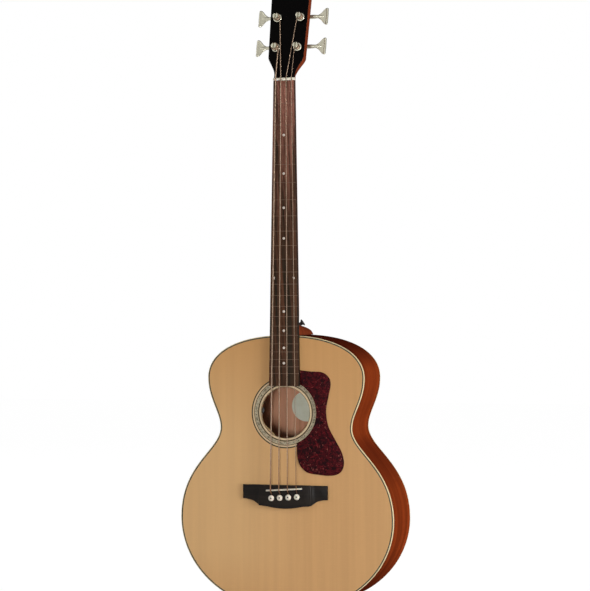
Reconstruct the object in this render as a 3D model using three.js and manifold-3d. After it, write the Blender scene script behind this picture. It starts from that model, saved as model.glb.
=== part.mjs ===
// Fretless acoustic bass guitar with four strings, in millimetres.
// +Z runs up the neck, the front faces -Y and +X is the treble side.
// The origin is on the centre line, level with the nut's front edge, in the plane of the soundboard's face.

import * as THREE from 'three';
import { mergeVertices } from 'three/addons/utils/BufferGeometryUtils.js';
import Module from 'manifold-3d';

const wasm = await Module();
wasm.setup();

// Clearances and construction values
const seat = 0.3;
const running = 0.22;
const overrun = 6;
const semitones = 12;
const half = 0.5;

// Scale and strings, from bass to treble
const scaleLength = 781;
const jointFret = 17;
const stringNames = ['e', 'a', 'd', 'g'];
const stringRadii = [1.27, 1.02, 0.8, 0.57];
const stringLoops = [2, 2.2, 2.4, 2.6];
const nutStringPitch = 10.6;
const saddleStringPitch = 17.2;
const loopGap = 0.65;

// Body
const bodyLength = 528.7;
const upperHalfWidth = 158;
const upperDrop = 81.4;
const waistHalfWidth = 132.8;
const waistDrop = 177.9;
const lowerHalfWidth = 215;
const lowerDrop = 353.2;
const handleShares = [0.634, 0.584, 0.438, 0.293, 0.249, 0.587, 0.501, 0.639];
const curveSteps = [7, 6, 9, 10];
const neckEndDepth = 108;
const tailDepth = 123;
const sideThickness = 2.5;
const topThickness = 3.2;
const backThickness = 3;
const backArch = 12;
const backRingShares = [1, 0.82, 0.58, 0.3, 0];
const spineShare = 0.6;
const bindingWidth = 2.6;
const bindingHeight = 6;
const liningWidth = 7;
const liningToeWidth = 2;
const liningHeight = 12;

// Sound hole, rosette and pickguard
const boardToHole = 2.55;
const holeRadius = 48.7;
const rosetteRadius = 68.6;
const rosetteThickness = 1.5;
const guardThickness = 1.4;
const guardArcRadius = 62.5;
const guardReach = 117.6;
const guardToBridge = 19.6;
const guardTopDrop = 67;
const guardUpperShares = [
  [0.43, 0.016], [0.62, 0.024], [0.735, 0.083], [0.779, 0.18], [0.744, 0.34], [0.7, 0.551], [0.736, 0.76],
  [0.85, 0.945],
];
const guardLowerShares = [
  [0.963, 0.27], [1, 0.62], [0.94, 0.895], [0.79, 1], [0.57, 0.98], [0.37, 0.912], [0.24, 0.662],
  [0.2, 0.345],
];

// Blocks and braces inside the body
const blockHalfWidth = 38;
const neckBlockLength = 62;
const tailBlockLength = 20;
const tenonHalfWidth = 9.5;
const tenonLength = 22;
const tenonFront = 12;
const tenonBack = 92;
const braceWidth = 8;
const xBraceHeight = 16;
const braceEndHeight = 4;
const braceTaper = 60;
const xCrossShare = 0.29;
const xSplayAcross = 107;
const xSplayAlong = 100;
const xUpperReach = 186;
const xLowerReach = 300;
const faceBraceDrop = 84;
const faceBraceWidth = 10;
const faceBraceHeight = 22;
const wrenchRadius = 6;
const toneBarWidth = 6.5;
const toneBarHeight = 12;
const toneBarTaper = 35;
const toneBarLength = 190;
const toneBarRiseShare = 0.18;
const upperBarShare = 0.234;
const lowerBarShare = 0.543;
const toneBarOffset = 8;
const plateToBrace = 10.7;
const plateFlare = 52;
const plateFrontReach = 9;
const plateBackReach = 12;
const plateThickness = 2.6;

// Bridge, saddle and pins
const bridgeHalfLength = 85.3;
const bridgeDepth = 45;
const bridgeHeight = 9.2;
const wingHeight = 4.2;
const saddleToBridgeEdge = 8.3;
const bridgeLowerShares = [
  [1, 0.6], [0.93, 0.606], [0.84, 0.635], [0.75, 0.69], [0.67, 0.785], [0.59, 0.875],
  [0.45, 0.9], [0.3, 0.948], [0.15, 0.986], [0, 1],
];
const wingStartShare = 0.6;
const wingEndShare = 0.74;
const slant = 3.7 * Math.PI / 180;
const compensation = 3;
const saddleLength = 72;
const saddleThickness = 3;
const saddleTopHeight = 15;
const saddleSlotDepth = 6.6;
const pickupHeight = 1.2;
const pickupWidth = 2.4;
const pinSetback = 15.2;
const pinHeadRadius = 5.7;
const pinHeadHeight = 3.8;
const pinShankRadius = 3.5;
const pinTipRadius = 2.7;
const pinLength = 24;
const pinDomeShares = [[0, 1], [0.5, 0.94], [0.87, 0.66], [1, 0.3], [0.93, 0]];
const stringSlotReach = 10.6;
const stringTuck = 1.4;
const stringBreak = 43 * Math.PI / 180;
const ballRadius = 2.5;
const ballLength = 5;

// Fingerboard and nut
const nutHalfWidth = 21.2;
const jointHalfWidth = 29.05;
const boardThickness = 7;
const boardEndFret = 24;
const boardFaceAtNut = 2.3;
const boardFaceAtJoint = 7.5;
const boardRadius = 400;
const nutLength = 5.5;
const nutAction = 0.8;
const nutCrest = 1.9;

// Neck, heel and truss rod
const neckDepthAtNut = 22.5;
const neckDepthAtHeel = 26;
const heelDepth = 106;
const heelHalfWidth = 27;
const heelRun = 62;
const heelRunShares = [0, 0.25, 0.42, 0.54, 0.62, 0.67, 0.71, 0.745, 0.8, 0.88, 1];
const heelDepthShares = [0, 0.02, 0.065, 0.15, 0.28, 0.44, 0.64, 0.81, 0.93, 0.98, 1];
const heelWidthShares = [0, 0, 0.02, 0.08, 0.16, 0.24, 0.32, 0.4, 0.6, 0.85, 1];
const neckRoundShare = 0.85;
const heelSquareShare = 0.45;
const neckFallShare = 0.8;
const voluteTipShare = 0.9;
const rodRadius = 2.5;
const rodTopDistance = 20;
const rodDepthAtNut = 10.5;
const rodDepthAtEnd = 8.4;
const rodNutRadius = 4.4;
const rodNutLength = 9;
const rodSocketRadius = 2.5;
const rodSocketDepth = 6;

// Headstock
const headTilt = 14 * Math.PI / 180;
const headFaceDrop = 1.1;
const headLength = 188;
const headThickness = 17.5;
const veneerThickness = 2;
const headThroatHalf = 20.9;
const headCornerHalf = 35.3;
const headTopHalf = 38.6;
const headCornerRise = 40;
const headShoulderRise = 180;
const voluteReach = 34;
const throatShares = [[0, 0], [0, 0.2], [0.17, 0.42], [0.48, 0.64], [0.85, 0.88], [1, 1]];

// Tuners, each on its own plate behind the headstock
const lowerPostRise = 61.9;
const upperPostRise = 122.7;
const lowerPostOffset = 21.8;
const upperPostOffset = 23.2;
const postRadius = 4.6;
const postCapRadius = 5.3;
const postCapHeight = 1.4;
const postRise = 14.6;
const postSlotWidth = 2.6;
const postSlotDepth = 5;
const bushingFlangeRadius = 8.3;
const bushingFlange = 1.6;
const bushingSleeveRadius = 6.2;
const bushingSleeve = 9;
const tunerPlateThickness = 1.5;
const tunerPlateHalf = 11.8;
const tunerPlateBelow = 12;
const tunerPlateAbove = 18;
const gearTeeth = 16;
const gearModule = 0.8;
const wormRadius = 3.1;
const toothRise = 0.6;
const toothSink = 0.9;
const toothThicknessShare = 0.36;
const flankSlope = 0.364;
const gearWidth = 6;
const gearLift = 7.2;
const gearScrewRadius = 3;
const gearScrewHeight = 1.4;
const wormHalfLength = 4.6;
const journalRadius = 2.4;
const lugOffset = 7.6;
const lugThickness = 2.2;
const lugHalfWidth = 4.4;
const keyStemStart = 13.6;
const keyStemRadius = 4.1;
const keyNeckRadius = 3.2;
const keyNeckReach = 48.5;
const keyTipReach = 71.3;
const keyHalfHeight = 17;
const keyThickness = 4.6;
const keyEdge = 0.9;
const keyFlareShares = [[0, 0.19], [0.2, 0.24], [0.37, 0.37], [0.53, 0.55], [0.68, 0.75], [0.82, 0.91]];
const keyCorner = 2.6;
const stemRootShare = 0.8;
const stemMiddleShare = 0.9;

// Strap button, end jack and the controls inside the sound hole
const buttonRadius = 6.6;
const buttonNeckRadius = 3.4;
const buttonFootRadius = 5;
const buttonHeight = 11;
const buttonRim = 2.2;
const buttonCrownShare = 0.85;
const buttonOffset = 13.5;
const buttonDepth = 43.2;
const buttonRise = 18.7;
const buttonAxis = new THREE.Vector3(0.78, 0.26, 0.57).normalize();
const jackDepth = 62;
const jackFlangeRadius = 9;
const jackNeckRadius = 6.5;
const jackReach = 14;
const jackFlange = 3;
const jackFootRadius = 8.1;
const jackBarrelRadius = 5.2;
const jackBarrelLength = 46;
const jackBoreRadius = 3.3;
const jackBoreDepth = 30;
const controlLength = 38;
const controlToBrace = 0.6;
const controlWidth = 15;
const controlHeight = 10;
const controlRimGap = 2;
const wheelRadius = 7;
const wheelThickness = 2.6;
const wheelSpacing = 15;
const wheelOverhang = 3.2;
const wheelRibs = 18;
const wheelRibDepth = 0.35;
const labelRadius = 30;
const labelThickness = 0.4;
const labelRise = 7;
const labelOffset = 3.5;
const pouchWidth = 54;
const pouchLength = 30;
const pouchDepth = 20;
const pouchCorner = 4;
const pouchSetDepth = 60;

// Places that follow from the sizes above
const jointDistance = scaleLength * (1 - 2 ** (-jointFret / semitones));
const bodyTop = -jointDistance;
const bodyBottom = bodyTop - bodyLength;
const boardEndDistance = scaleLength * (1 - 2 ** (-boardEndFret / semitones));
const holeZ = -boardEndDistance - boardToHole - holeRadius;
const saddleZ = -scaleLength - compensation;
const bridgeTopZ = saddleZ + saddleToBridgeEdge;
const xTilt = Math.atan2(xSplayAcross, xSplayAlong);
const xCrossZ = holeZ - holeRadius - xCrossShare * (holeZ - holeRadius - bridgeTopZ);
const plateFrontZ = bridgeTopZ + plateFrontReach;
const plateBackZ = bridgeTopZ - bridgeDepth - plateBackReach;
const plateFrontHalf = (xCrossZ - plateFrontZ) * Math.tan(xTilt) - braceWidth - plateToBrace;
const barRoom = plateBackZ - bodyBottom - sideThickness - seat - tailBlockLength;
const gearRadius = gearTeeth * gearModule * half;
const wormDistance = gearRadius + wormRadius;
const wormLead = Math.PI * gearModule;
const gearDepth = headThickness + tunerPlateThickness + gearLift + seat;

// Materials
const finish = (color, roughness, metalness = 0) => new THREE.MeshStandardMaterial({
  color, roughness, metalness,
});
const spruce = finish('#c5a06c', 0.35);
const mahogany = finish('#82391f', 0.35);
const bareMahogany = finish('#96694f', 0.8);
const rosewood = finish('#45291e', 0.6);
const bridgeWood = finish('#1d1512', 0.5);
const blackVeneer = finish('#0b0a0a', 0.2);
const cream = finish('#e8dcc0', 0.4);
const bone = finish('#efe9da', 0.4);
const pearl = finish('#b7ae98', 0.3);
const tortoise = finish('#45070c', 0.2);
const braceWood = finish('#d0b184', 0.8);
const nickel = finish('#b9b9b0', 0.25, 1);
const brassMetal = finish('#b08d57', 0.3, 1);
const bronze = finish('#8d6a48', 0.4, 1);
const steel = finish('#8a8a88', 0.4, 1);
const blackPlastic = finish('#161616', 0.5);
const paper = finish('#dfe0cf', 0.9);
const fabric = finish('#1a1a1c', 0.9);

// Geometry helpers
function signedVolume(position, index) {
  const a = new THREE.Vector3();
  const b = new THREE.Vector3();
  const c = new THREE.Vector3();
  let total = 0;
  for (let i = 0; i < index.length; i += 3) {
    a.fromArray(position, index[i] * 3);
    b.fromArray(position, index[i + 1] * 3);
    c.fromArray(position, index[i + 2] * 3);
    total += a.dot(b.cross(c));
  }
  return total;
}

function closed(geometry) {
  const bare = new THREE.BufferGeometry();
  bare.setAttribute('position', geometry.getAttribute('position').clone());
  if (geometry.index) bare.setIndex(geometry.index.clone());
  const merged = mergeVertices(bare);
  const position = merged.getAttribute('position').array;
  const kept = [];
  for (let i = 0; i < merged.index.count; i += 3) {
    const [a, b, c] = merged.index.array.slice(i, i + 3);
    if (a !== b && b !== c && c !== a) kept.push(a, b, c);
  }
  if (signedVolume(position, kept) < 0) kept.reverse();
  merged.setIndex(kept);
  return merged;
}

function solid(geometry) {
  const shape = closed(geometry);
  const vertProperties = Float32Array.from(shape.getAttribute('position').array);
  const triVerts = Uint32Array.from(shape.index.array);
  return new wasm.Manifold(new wasm.Mesh({ numProp: 3, vertProperties, triVerts }));
}

function geometryOf(body) {
  const mesh = body.getMesh();
  const geometry = new THREE.BufferGeometry();
  geometry.setAttribute('position', new THREE.BufferAttribute(Float32Array.from(mesh.vertProperties), 3));
  geometry.setIndex([...mesh.triVerts]);
  return geometry;
}

function cut(base, ...tools) {
  return geometryOf(tools.reduce((body, tool) => body.subtract(solid(tool)), solid(base)));
}

function join(base, ...others) {
  return geometryOf(others.reduce((body, other) => body.add(solid(other)), solid(base)));
}

function common(base, other) {
  return geometryOf(solid(base).intersect(solid(other)));
}

function extrude(shape, length, curveSegments = 8) {
  return new THREE.ExtrudeGeometry(shape, { depth: length, bevelEnabled: false, curveSegments });
}

// A shape drawn in X and Z, given its thickness along Y
function slabY(shape, front, back, curveSegments) {
  return extrude(shape, back - front, curveSegments).rotateX(Math.PI * half).translate(0, back, 0);
}

// A shape drawn in Y and Z, given its width along X about the centre line
const sideways = new THREE.Matrix4().set(0, 0, 1, 0, 1, 0, 0, 0, 0, 1, 0, 0, 0, 0, 0, 1);
function slabX(shape, width, curveSegments = 5) {
  return extrude(shape, width, curveSegments).translate(0, 0, -width * half).applyMatrix4(sideways);
}

function shapeOf(points) {
  return new THREE.Shape(points.map(([x, y]) => new THREE.Vector2(x, y)));
}

function box(x0, x1, y0, y1, z0, z1) {
  return new THREE.BoxGeometry(x1 - x0, y1 - y0, z1 - z0)
    .translate((x0 + x1) * half, (y0 + y1) * half, (z0 + z1) * half);
}

// A rod between two heights on the Y axis, turned afterwards where it lies along X or Z
function rod(radius, from, to, sides = 20, farRadius = radius) {
  const shape = new THREE.CylinderGeometry(farRadius, radius, to - from, sides);
  return shape.translate(0, (from + to) * half, 0);
}

function turned(profile, sides) {
  return closed(new THREE.LatheGeometry(profile.map(([r, y]) => new THREE.Vector2(r, y)), sides));
}

// Skins a row of loops with equal point counts, joining the last to the first or capping both ends
function skin(loops, ring = false) {
  const count = loops[0].length;
  const position = loops.flatMap((loop) => loop.flatMap((p) => [p.x, p.y, p.z]));
  const index = [];
  const spans = ring ? loops.length : loops.length - 1;
  for (let i = 0; i < spans; i += 1) {
    const here = i * count;
    const next = ((i + 1) % loops.length) * count;
    for (let j = 0; j < count; j += 1) {
      const k = (j + 1) % count;
      index.push(here + j, next + j, next + k, here + j, next + k, here + k);
    }
  }
  if (!ring) {
    [0, loops.length - 1].forEach((i) => {
      const middle = position.length / 3;
      const centre = loops[i].reduce((sum, p) => sum.add(p), new THREE.Vector3()).divideScalar(count);
      position.push(centre.x, centre.y, centre.z);
      for (let j = 0; j < count; j += 1) {
        const k = (j + 1) % count;
        if (i === 0) index.push(middle, j, k);
        else index.push(middle, i * count + k, i * count + j);
      }
    });
  }
  const geometry = new THREE.BufferGeometry();
  geometry.setAttribute('position', new THREE.Float32BufferAttribute(position, 3));
  geometry.setIndex(index);
  return closed(geometry);
}

// A round tube along a row of points, with flat ends
function tube(points, radius, sides) {
  const loops = [];
  const normal = new THREE.Vector3(1, 0, 0);
  let before = null;
  points.forEach((point, i) => {
    const ahead = points[Math.min(i + 1, points.length - 1)];
    const behind = points[Math.max(i - 1, 0)];
    const tangent = ahead.clone().sub(behind).normalize();
    if (before) normal.applyQuaternion(new THREE.Quaternion().setFromUnitVectors(before, tangent));
    normal.addScaledVector(tangent, -normal.dot(tangent)).normalize();
    before = tangent;
    const other = tangent.clone().cross(normal);
    loops.push(Array.from({ length: sides }, (_, j) => {
      const angle = 2 * Math.PI * j / sides;
      return point.clone()
        .addScaledVector(normal, radius * Math.cos(angle))
        .addScaledVector(other, radius * Math.sin(angle));
    }));
  });
  return skin(loops);
}

// Body outline, drawn from the top centre round the treble side, the tail and back up the bass side
const outlineCurves = (() => {
  const [h0, h1, h2, h3, h4, h5, h6, h7] = handleShares;
  const at = (x, drop) => new THREE.Vector2(x, bodyTop - drop);
  const toWaist = waistDrop - upperDrop;
  const toLower = lowerDrop - waistDrop;
  const toTail = bodyLength - lowerDrop;
  return [
    new THREE.CubicBezierCurve(at(0, 0), at(h0 * upperHalfWidth, 0),
      at(upperHalfWidth, upperDrop * (1 - h1)), at(upperHalfWidth, upperDrop)),
    new THREE.CubicBezierCurve(at(upperHalfWidth, upperDrop), at(upperHalfWidth, upperDrop + h2 * toWaist),
      at(waistHalfWidth, waistDrop - h3 * toWaist), at(waistHalfWidth, waistDrop)),
    new THREE.CubicBezierCurve(at(waistHalfWidth, waistDrop), at(waistHalfWidth, waistDrop + h4 * toLower),
      at(lowerHalfWidth, lowerDrop - h5 * toLower), at(lowerHalfWidth, lowerDrop)),
    new THREE.CubicBezierCurve(at(lowerHalfWidth, lowerDrop), at(lowerHalfWidth, lowerDrop + h6 * toTail),
      at(h7 * lowerHalfWidth, bodyLength), at(0, bodyLength)),
  ];
})();

function outline(inset) {
  const treble = [];
  outlineCurves.forEach((curve, c) => {
    for (let i = c === 0 ? 0 : 1; i <= curveSteps[c]; i += 1) {
      const t = i / curveSteps[c];
      const along = curve.getTangent(t);
      const point = curve.getPoint(t);
      treble.push(new THREE.Vector2(point.x + inset * along.y, point.y - inset * along.x));
    }
  });
  treble[0].x = 0;
  treble[treble.length - 1].x = 0;
  const bass = treble.slice(1, -1).reverse().map((p) => new THREE.Vector2(-p.x, p.y));
  return [...treble, ...bass];
}

function rimDepth(z) {
  return neckEndDepth + (tailDepth - neckEndDepth) * (bodyTop - z) / bodyLength;
}

// A band that follows the outline, from a front line to a back line in Y
function band(outerInset, innerFrontInset, innerBackInset, front, back) {
  const outer = outline(outerInset);
  const innerFront = outline(innerFrontInset);
  const innerBack = outline(innerBackInset);
  return skin(outer.map((p, i) => {
    const f = innerFront[i];
    const b = innerBack[i];
    return [
      new THREE.Vector3(p.x, front(p.y), p.y),
      new THREE.Vector3(p.x, back(p.y), p.y),
      new THREE.Vector3(b.x, back(b.y), b.y),
      new THREE.Vector3(f.x, front(f.y), f.y),
    ];
  }), true);
}

const far = bodyLength;
const trebleHalf = () => box(seat * half, far, -far, far, bodyBottom - far, bodyTop + far);
const bassHalf = () => box(-far, -seat * half, -far, far, bodyBottom - far, bodyTop + far);

// The space inside the linings, where braces end, and the space inside the sides, where blocks end
const insideLinings = () => slabY(
  new THREE.Shape(outline(sideThickness + liningWidth + 3 * seat)), -overrun, tailDepth + overrun,
);
const insideSides = () => slabY(
  new THREE.Shape(outline(sideThickness + seat)), -overrun, tailDepth + overrun,
);

function circleHole(radius, x, z, sides) {
  const path = new THREE.Path();
  for (let i = 0; i < sides; i += 1) {
    const angle = 2 * Math.PI * i / sides;
    const px = x + radius * Math.cos(angle);
    const pz = z + radius * Math.sin(angle);
    if (i === 0) path.moveTo(px, pz);
    else path.lineTo(px, pz);
  }
  path.closePath();
  return path;
}

// Strings and pins share these places across the instrument
const stringShare = (i) => i - (stringNames.length - 1) * half;
const nutX = (i) => stringShare(i) * nutStringPitch;
const saddleX = (i) => stringShare(i) * saddleStringPitch;
const saddleLineZ = (x) => saddleZ + x * Math.tan(slant);
const pinZ = (x) => saddleLineZ(x) - pinSetback;
const crown = (x) => x * x * half / boardRadius;
const bridgeBase = -seat;
const bridgeFace = bridgeBase - bridgeHeight;
const pinHoleRadius = pinShankRadius + running;

// Soundboard with its sound hole, rosette rebate and pin holes
const plateInset = bindingWidth + seat;
function soundboardGeometry() {
  const shape = new THREE.Shape(outline(plateInset));
  shape.holes.push(circleHole(holeRadius, 0, holeZ, 48));
  stringNames.forEach((_, i) => {
    const x = saddleX(i);
    shape.holes.push(circleHole(pinHoleRadius, x, pinZ(x), 10));
  });
  const board = slabY(shape, 0, topThickness);
  const rebate = rod(rosetteRadius + seat, -overrun, rosetteThickness + seat, 56).translate(0, 0, holeZ);
  return cut(board, rebate, ...stringNames.map((_, i) => stringPassage(i)));
}

function rosetteGeometry() {
  return turned([
    [holeRadius, 0], [rosetteRadius, 0], [rosetteRadius, rosetteThickness], [holeRadius, rosetteThickness],
    [holeRadius, 0],
  ], 48).translate(0, 0, holeZ);
}

function guardGeometry() {
  const top = bodyTop - guardTopDrop;
  const edge = boardHalfWidth(-top) + seat;
  const lowEdge = boardHalfWidth(boardEndDistance) + seat;
  const start = Math.acos(lowEdge / guardArcRadius);
  const lastX = guardLowerShares[guardLowerShares.length - 1][0] * guardReach;
  const end = -Math.acos(lastX / guardArcRadius);
  const arcEnd = holeZ + guardArcRadius * Math.sin(end);
  const bottom = bridgeTopZ + guardToBridge;
  const between = (shares, from, to) => shares.map(([x, z]) => new THREE.Vector2(
    x * guardReach, from + z * (to - from),
  ));
  const shape = new THREE.Shape();
  shape.moveTo(lowEdge, holeZ + guardArcRadius * Math.sin(start));
  shape.lineTo(edge, top);
  shape.splineThru([
    ...between(guardUpperShares, top, arcEnd), ...between(guardLowerShares, arcEnd, bottom),
  ]);
  shape.lineTo(lastX, arcEnd);
  shape.absarc(0, holeZ, guardArcRadius, end, start, false);
  return slabY(shape, -seat - guardThickness, -seat, 2);
}

// Arched back: rings of points that close in from the rim towards a spine along the centre line
function backGeometry() {
  const rim = outline(plateInset);
  const middle = bodyTop - bodyLength * half;
  const position = [];
  [0, backThickness].forEach((lift) => backRingShares.forEach((share) => rim.forEach((p) => {
    const z = middle + (p.y - middle) * (spineShare + (1 - spineShare) * share);
    position.push(p.x * share, rimDepth(z) + backArch * (1 - share * share) - lift, z);
  })));
  const count = rim.length;
  const rings = backRingShares.length;
  const stride = rings * count;
  const index = [];
  const quad = (a, b, c, d) => index.push(a, b, c, a, c, d);
  for (let j = 0; j < count; j += 1) {
    const k = (j + 1) % count;
    for (let r = 0; r < stride - count; r += count) {
      quad(r + j, r + k, r + count + k, r + count + j);
      quad(stride + r + k, stride + r + j, stride + r + count + j, stride + r + count + k);
    }
    quad(k, j, stride + j, stride + k);
  }
  const geometry = new THREE.BufferGeometry();
  geometry.setAttribute('position', new THREE.Float32BufferAttribute(position, 3));
  geometry.setIndex(index);
  return closed(geometry);
}

// Sides, one bent strip each, cut for the neck's tenon and the end jack
const sideFront = () => bindingHeight + seat;
const sideBack = (z) => rimDepth(z) - bindingHeight - seat;
const tenonCut = () => box(
  -tenonHalfWidth - seat, tenonHalfWidth + seat, tenonFront - seat, tenonBack + seat,
  bodyTop - tenonLength - seat, bodyTop + overrun,
);
const rodDepth = (distance) => rodDepthAtNut
  + (rodDepthAtEnd - rodDepthAtNut) * (distance - rodTopDistance) / (rodEndDistance - rodTopDistance);
const rodEndDistance = -(bodyTop - sideThickness - seat - neckBlockLength);
const rodCut = () => {
  const depth = rodRadius + running;
  const top = -rodTopDistance + seat;
  const bottom = -rodEndDistance - overrun;
  return slabX(shapeOf([
    [-overrun, top], [rodDepth(rodTopDistance) + depth, top], [rodDepth(rodEndDistance) + depth, bottom],
    [-overrun, bottom],
  ]), 2 * depth);
};
const jackCut = () => rod(jackBarrelRadius + seat, bodyBottom - overrun, bodyBottom + jackBarrelLength)
  .rotateX(Math.PI * half).translate(0, jackDepth, 0);

function sideGeometry(halfSpace) {
  const strip = band(0, sideThickness, sideThickness, sideFront, sideBack);
  return cut(common(strip, halfSpace()), tenonCut(), rodCut(), jackCut());
}

function liningGeometry(halfSpace, front, back, frontWidth, backWidth) {
  const outer = sideThickness + seat;
  const strip = band(outer, outer + frontWidth, outer + backWidth, front, back);
  const reach = blockHalfWidth + seat;
  const neckGap = box(-reach, reach, -overrun, tailDepth + overrun, bodyTop - neckBlockLength, bodyTop);
  const tailGap = box(
    -reach, reach, -overrun, tailDepth + overrun, bodyBottom, bodyBottom + 2 * tailBlockLength,
  );
  return cut(common(strip, halfSpace()), neckGap, tailGap);
}

const plateUnderside = topThickness + seat;
const topLining = (halfSpace) => liningGeometry(
  halfSpace, () => plateUnderside, () => plateUnderside + liningHeight, liningWidth, liningToeWidth,
);
const backSeat = (z) => rimDepth(z) - backThickness - seat;
const backLining = (halfSpace) => liningGeometry(
  halfSpace, (z) => backSeat(z) - liningHeight, backSeat, liningToeWidth, liningWidth,
);

function blockGeometry(z0, z1) {
  const profile = shapeOf([
    [plateUnderside, z0], [backSeat(z0), z0], [backSeat(z1), z1], [plateUnderside, z1],
  ]);
  return common(slabX(profile, 2 * blockHalfWidth), insideSides());
}

function neckBlockGeometry() {
  const inner = bodyTop - sideThickness - seat - neckBlockLength;
  return cut(blockGeometry(inner, bodyTop), tenonCut(), rodCut());
}

function tailBlockGeometry() {
  return cut(blockGeometry(bodyBottom, bodyBottom + sideThickness + seat + tailBlockLength), jackCut());
}

// A brace glued under the soundboard, tapered towards both ends
function brace(width, height, from, to, taper) {
  const along = to.clone().sub(from);
  const length = along.length();
  const profile = shapeOf([
    [0, 0], [length, 0], [length, braceEndHeight], [length - taper, height], [taper, height],
    [0, braceEndHeight],
  ]);
  return extrude(profile, width)
    .translate(0, 0, -width * half)
    .rotateY(Math.atan2(-along.y, along.x))
    .translate(from.x, plateUnderside, from.y);
}

function xBraceGeometry(side, notchFront) {
  const cross = new THREE.Vector2(0, xCrossZ);
  const along = new THREE.Vector2(side * Math.sin(xTilt), Math.cos(xTilt));
  const from = cross.clone().addScaledVector(along, xUpperReach);
  const to = cross.clone().addScaledVector(along, -xLowerReach);
  const bar = common(brace(braceWidth, xBraceHeight, from, to, braceTaper), insideLinings());
  const middle = plateUnderside + xBraceHeight * half;
  const notchFrom = notchFront ? plateUnderside - overrun : middle - seat * half;
  const notchTo = notchFront ? middle + seat * half : plateUnderside + xBraceHeight + overrun;
  const reach = braceWidth / Math.sin(2 * xTilt) + overrun;
  const notch = box(-reach, reach, notchFrom, notchTo, -braceWidth * half - seat, braceWidth * half + seat)
    .rotateY(Math.atan2(along.y, side * along.x) * side)
    .translate(cross.x, 0, cross.y);
  return cut(bar, notch);
}

function faceBraceGeometry() {
  const z = bodyTop - faceBraceDrop;
  const reach = upperHalfWidth;
  const from = new THREE.Vector2(-reach, z);
  const to = new THREE.Vector2(reach, z);
  const bar = brace(faceBraceWidth, faceBraceHeight, from, to, braceTaper);
  const wrenchHole = rod(wrenchRadius, -faceBraceWidth, faceBraceWidth, 16)
    .rotateX(Math.PI * half).translate(0, rodDepth(rodEndDistance) + wrenchRadius * half, z);
  return cut(common(bar, insideLinings()), wrenchHole);
}

function toneBarGeometry(roomShare) {
  const middle = new THREE.Vector2(-toneBarOffset, plateBackZ - roomShare * barRoom);
  const rise = toneBarRiseShare * barRoom;
  const reach = new THREE.Vector2(Math.sqrt((toneBarLength * half) ** 2 - rise ** 2), rise);
  const from = middle.clone().sub(reach);
  const to = middle.clone().add(reach);
  return brace(toneBarWidth, toneBarHeight, from, to, toneBarTaper);
}

function bridgePlateGeometry() {
  const backHalf = plateFrontHalf + plateFlare;
  const shape = shapeOf([
    [-plateFrontHalf, plateFrontZ], [plateFrontHalf, plateFrontZ], [backHalf, plateBackZ],
    [-backHalf, plateBackZ],
  ]);
  stringNames.forEach((_, i) => {
    const x = saddleX(i);
    shape.holes.push(circleHole(pinHoleRadius, x, pinZ(x), 10));
  });
  const plate = slabY(shape, plateUnderside, plateUnderside + plateThickness);
  return cut(plate, ...stringNames.map((_, i) => stringPassage(i)));
}

// The passage beside each pin, which lets its string down through bridge, soundboard and plate
const stringDrop = (i) => pinZ(saddleX(i)) + pinShankRadius + stringRadii[i] + 2 * seat;
function stringPassage(i) {
  const x = saddleX(i);
  const width = stringRadii[i] + seat;
  return box(
    x - width, x + width, bridgeFace - overrun, plateUnderside + 2 * overrun,
    pinZ(x), stringDrop(i) + width,
  );
}

// Bridge: its outline in X and Z crossed with its long profile in X and Y
function bridgeGeometry() {
  const lower = bridgeLowerShares.map(([x, z]) => [x * bridgeHalfLength, bridgeTopZ - z * bridgeDepth]);
  const mirrored = lower.slice(0, -1).reverse().map(([x, z]) => [-x, z]);
  const plan = shapeOf([
    [-bridgeHalfLength, bridgeTopZ], [bridgeHalfLength, bridgeTopZ], ...lower, ...mirrored,
  ]);
  const start = wingStartShare * bridgeHalfLength;
  const end = wingEndShare * bridgeHalfLength;
  const wing = bridgeBase - wingHeight;
  const profile = new THREE.Shape();
  profile.moveTo(-bridgeHalfLength - overrun, bridgeBase);
  profile.lineTo(bridgeHalfLength + overrun, bridgeBase);
  profile.lineTo(bridgeHalfLength + overrun, wing);
  profile.lineTo(end, wing);
  profile.quadraticCurveTo(start, wing, start, bridgeFace);
  profile.lineTo(-start, bridgeFace);
  profile.quadraticCurveTo(-start, wing, -end, wing);
  profile.lineTo(-bridgeHalfLength - overrun, wing);
  const blank = common(
    slabY(plan, bridgeFace - overrun, bridgeBase + overrun),
    extrude(profile, bridgeDepth + 2 * overrun, 5).translate(0, 0, bridgeTopZ - bridgeDepth - overrun),
  );
  const slot = box(
    -saddleLength * half - seat, saddleLength * half + seat,
    bridgeFace - overrun, bridgeFace + saddleSlotDepth,
    -saddleThickness * half - seat, saddleThickness * half + seat,
  ).rotateY(-slant).translate(0, 0, saddleZ);
  const tools = [slot];
  stringNames.forEach((_, i) => {
    const x = saddleX(i);
    const z = pinZ(x);
    const width = stringRadii[i] + seat;
    tools.push(rod(pinHoleRadius, bridgeFace - overrun, bridgeBase + overrun, 14).translate(x, 0, z));
    tools.push(box(
      x - width, x + width, bridgeFace - overrun, bridgeFace + overrun, z, z + stringSlotReach,
    ));
    tools.push(stringPassage(i));
  });
  return cut(blank, ...tools);
}

function saddleGeometry() {
  const bottom = bridgeFace + saddleSlotDepth - pickupHeight - 2 * seat;
  const radius = saddleThickness * half;
  const stations = 8;
  const roundSteps = 6;
  const loops = Array.from({ length: stations + 1 }, (_, i) => {
    const x = saddleLength * (i / stations - half);
    const centre = crown(x) - saddleTopHeight + radius;
    const loop = [new THREE.Vector3(x, bottom, -radius)];
    for (let k = 0; k <= roundSteps; k += 1) {
      const angle = Math.PI * (k / roundSteps - half);
      loop.push(new THREE.Vector3(x, centre - radius * Math.cos(angle), radius * Math.sin(angle)));
    }
    loop.push(new THREE.Vector3(x, bottom, radius));
    return loop;
  });
  return skin(loops).rotateY(-slant).translate(0, 0, saddleZ);
}

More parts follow.
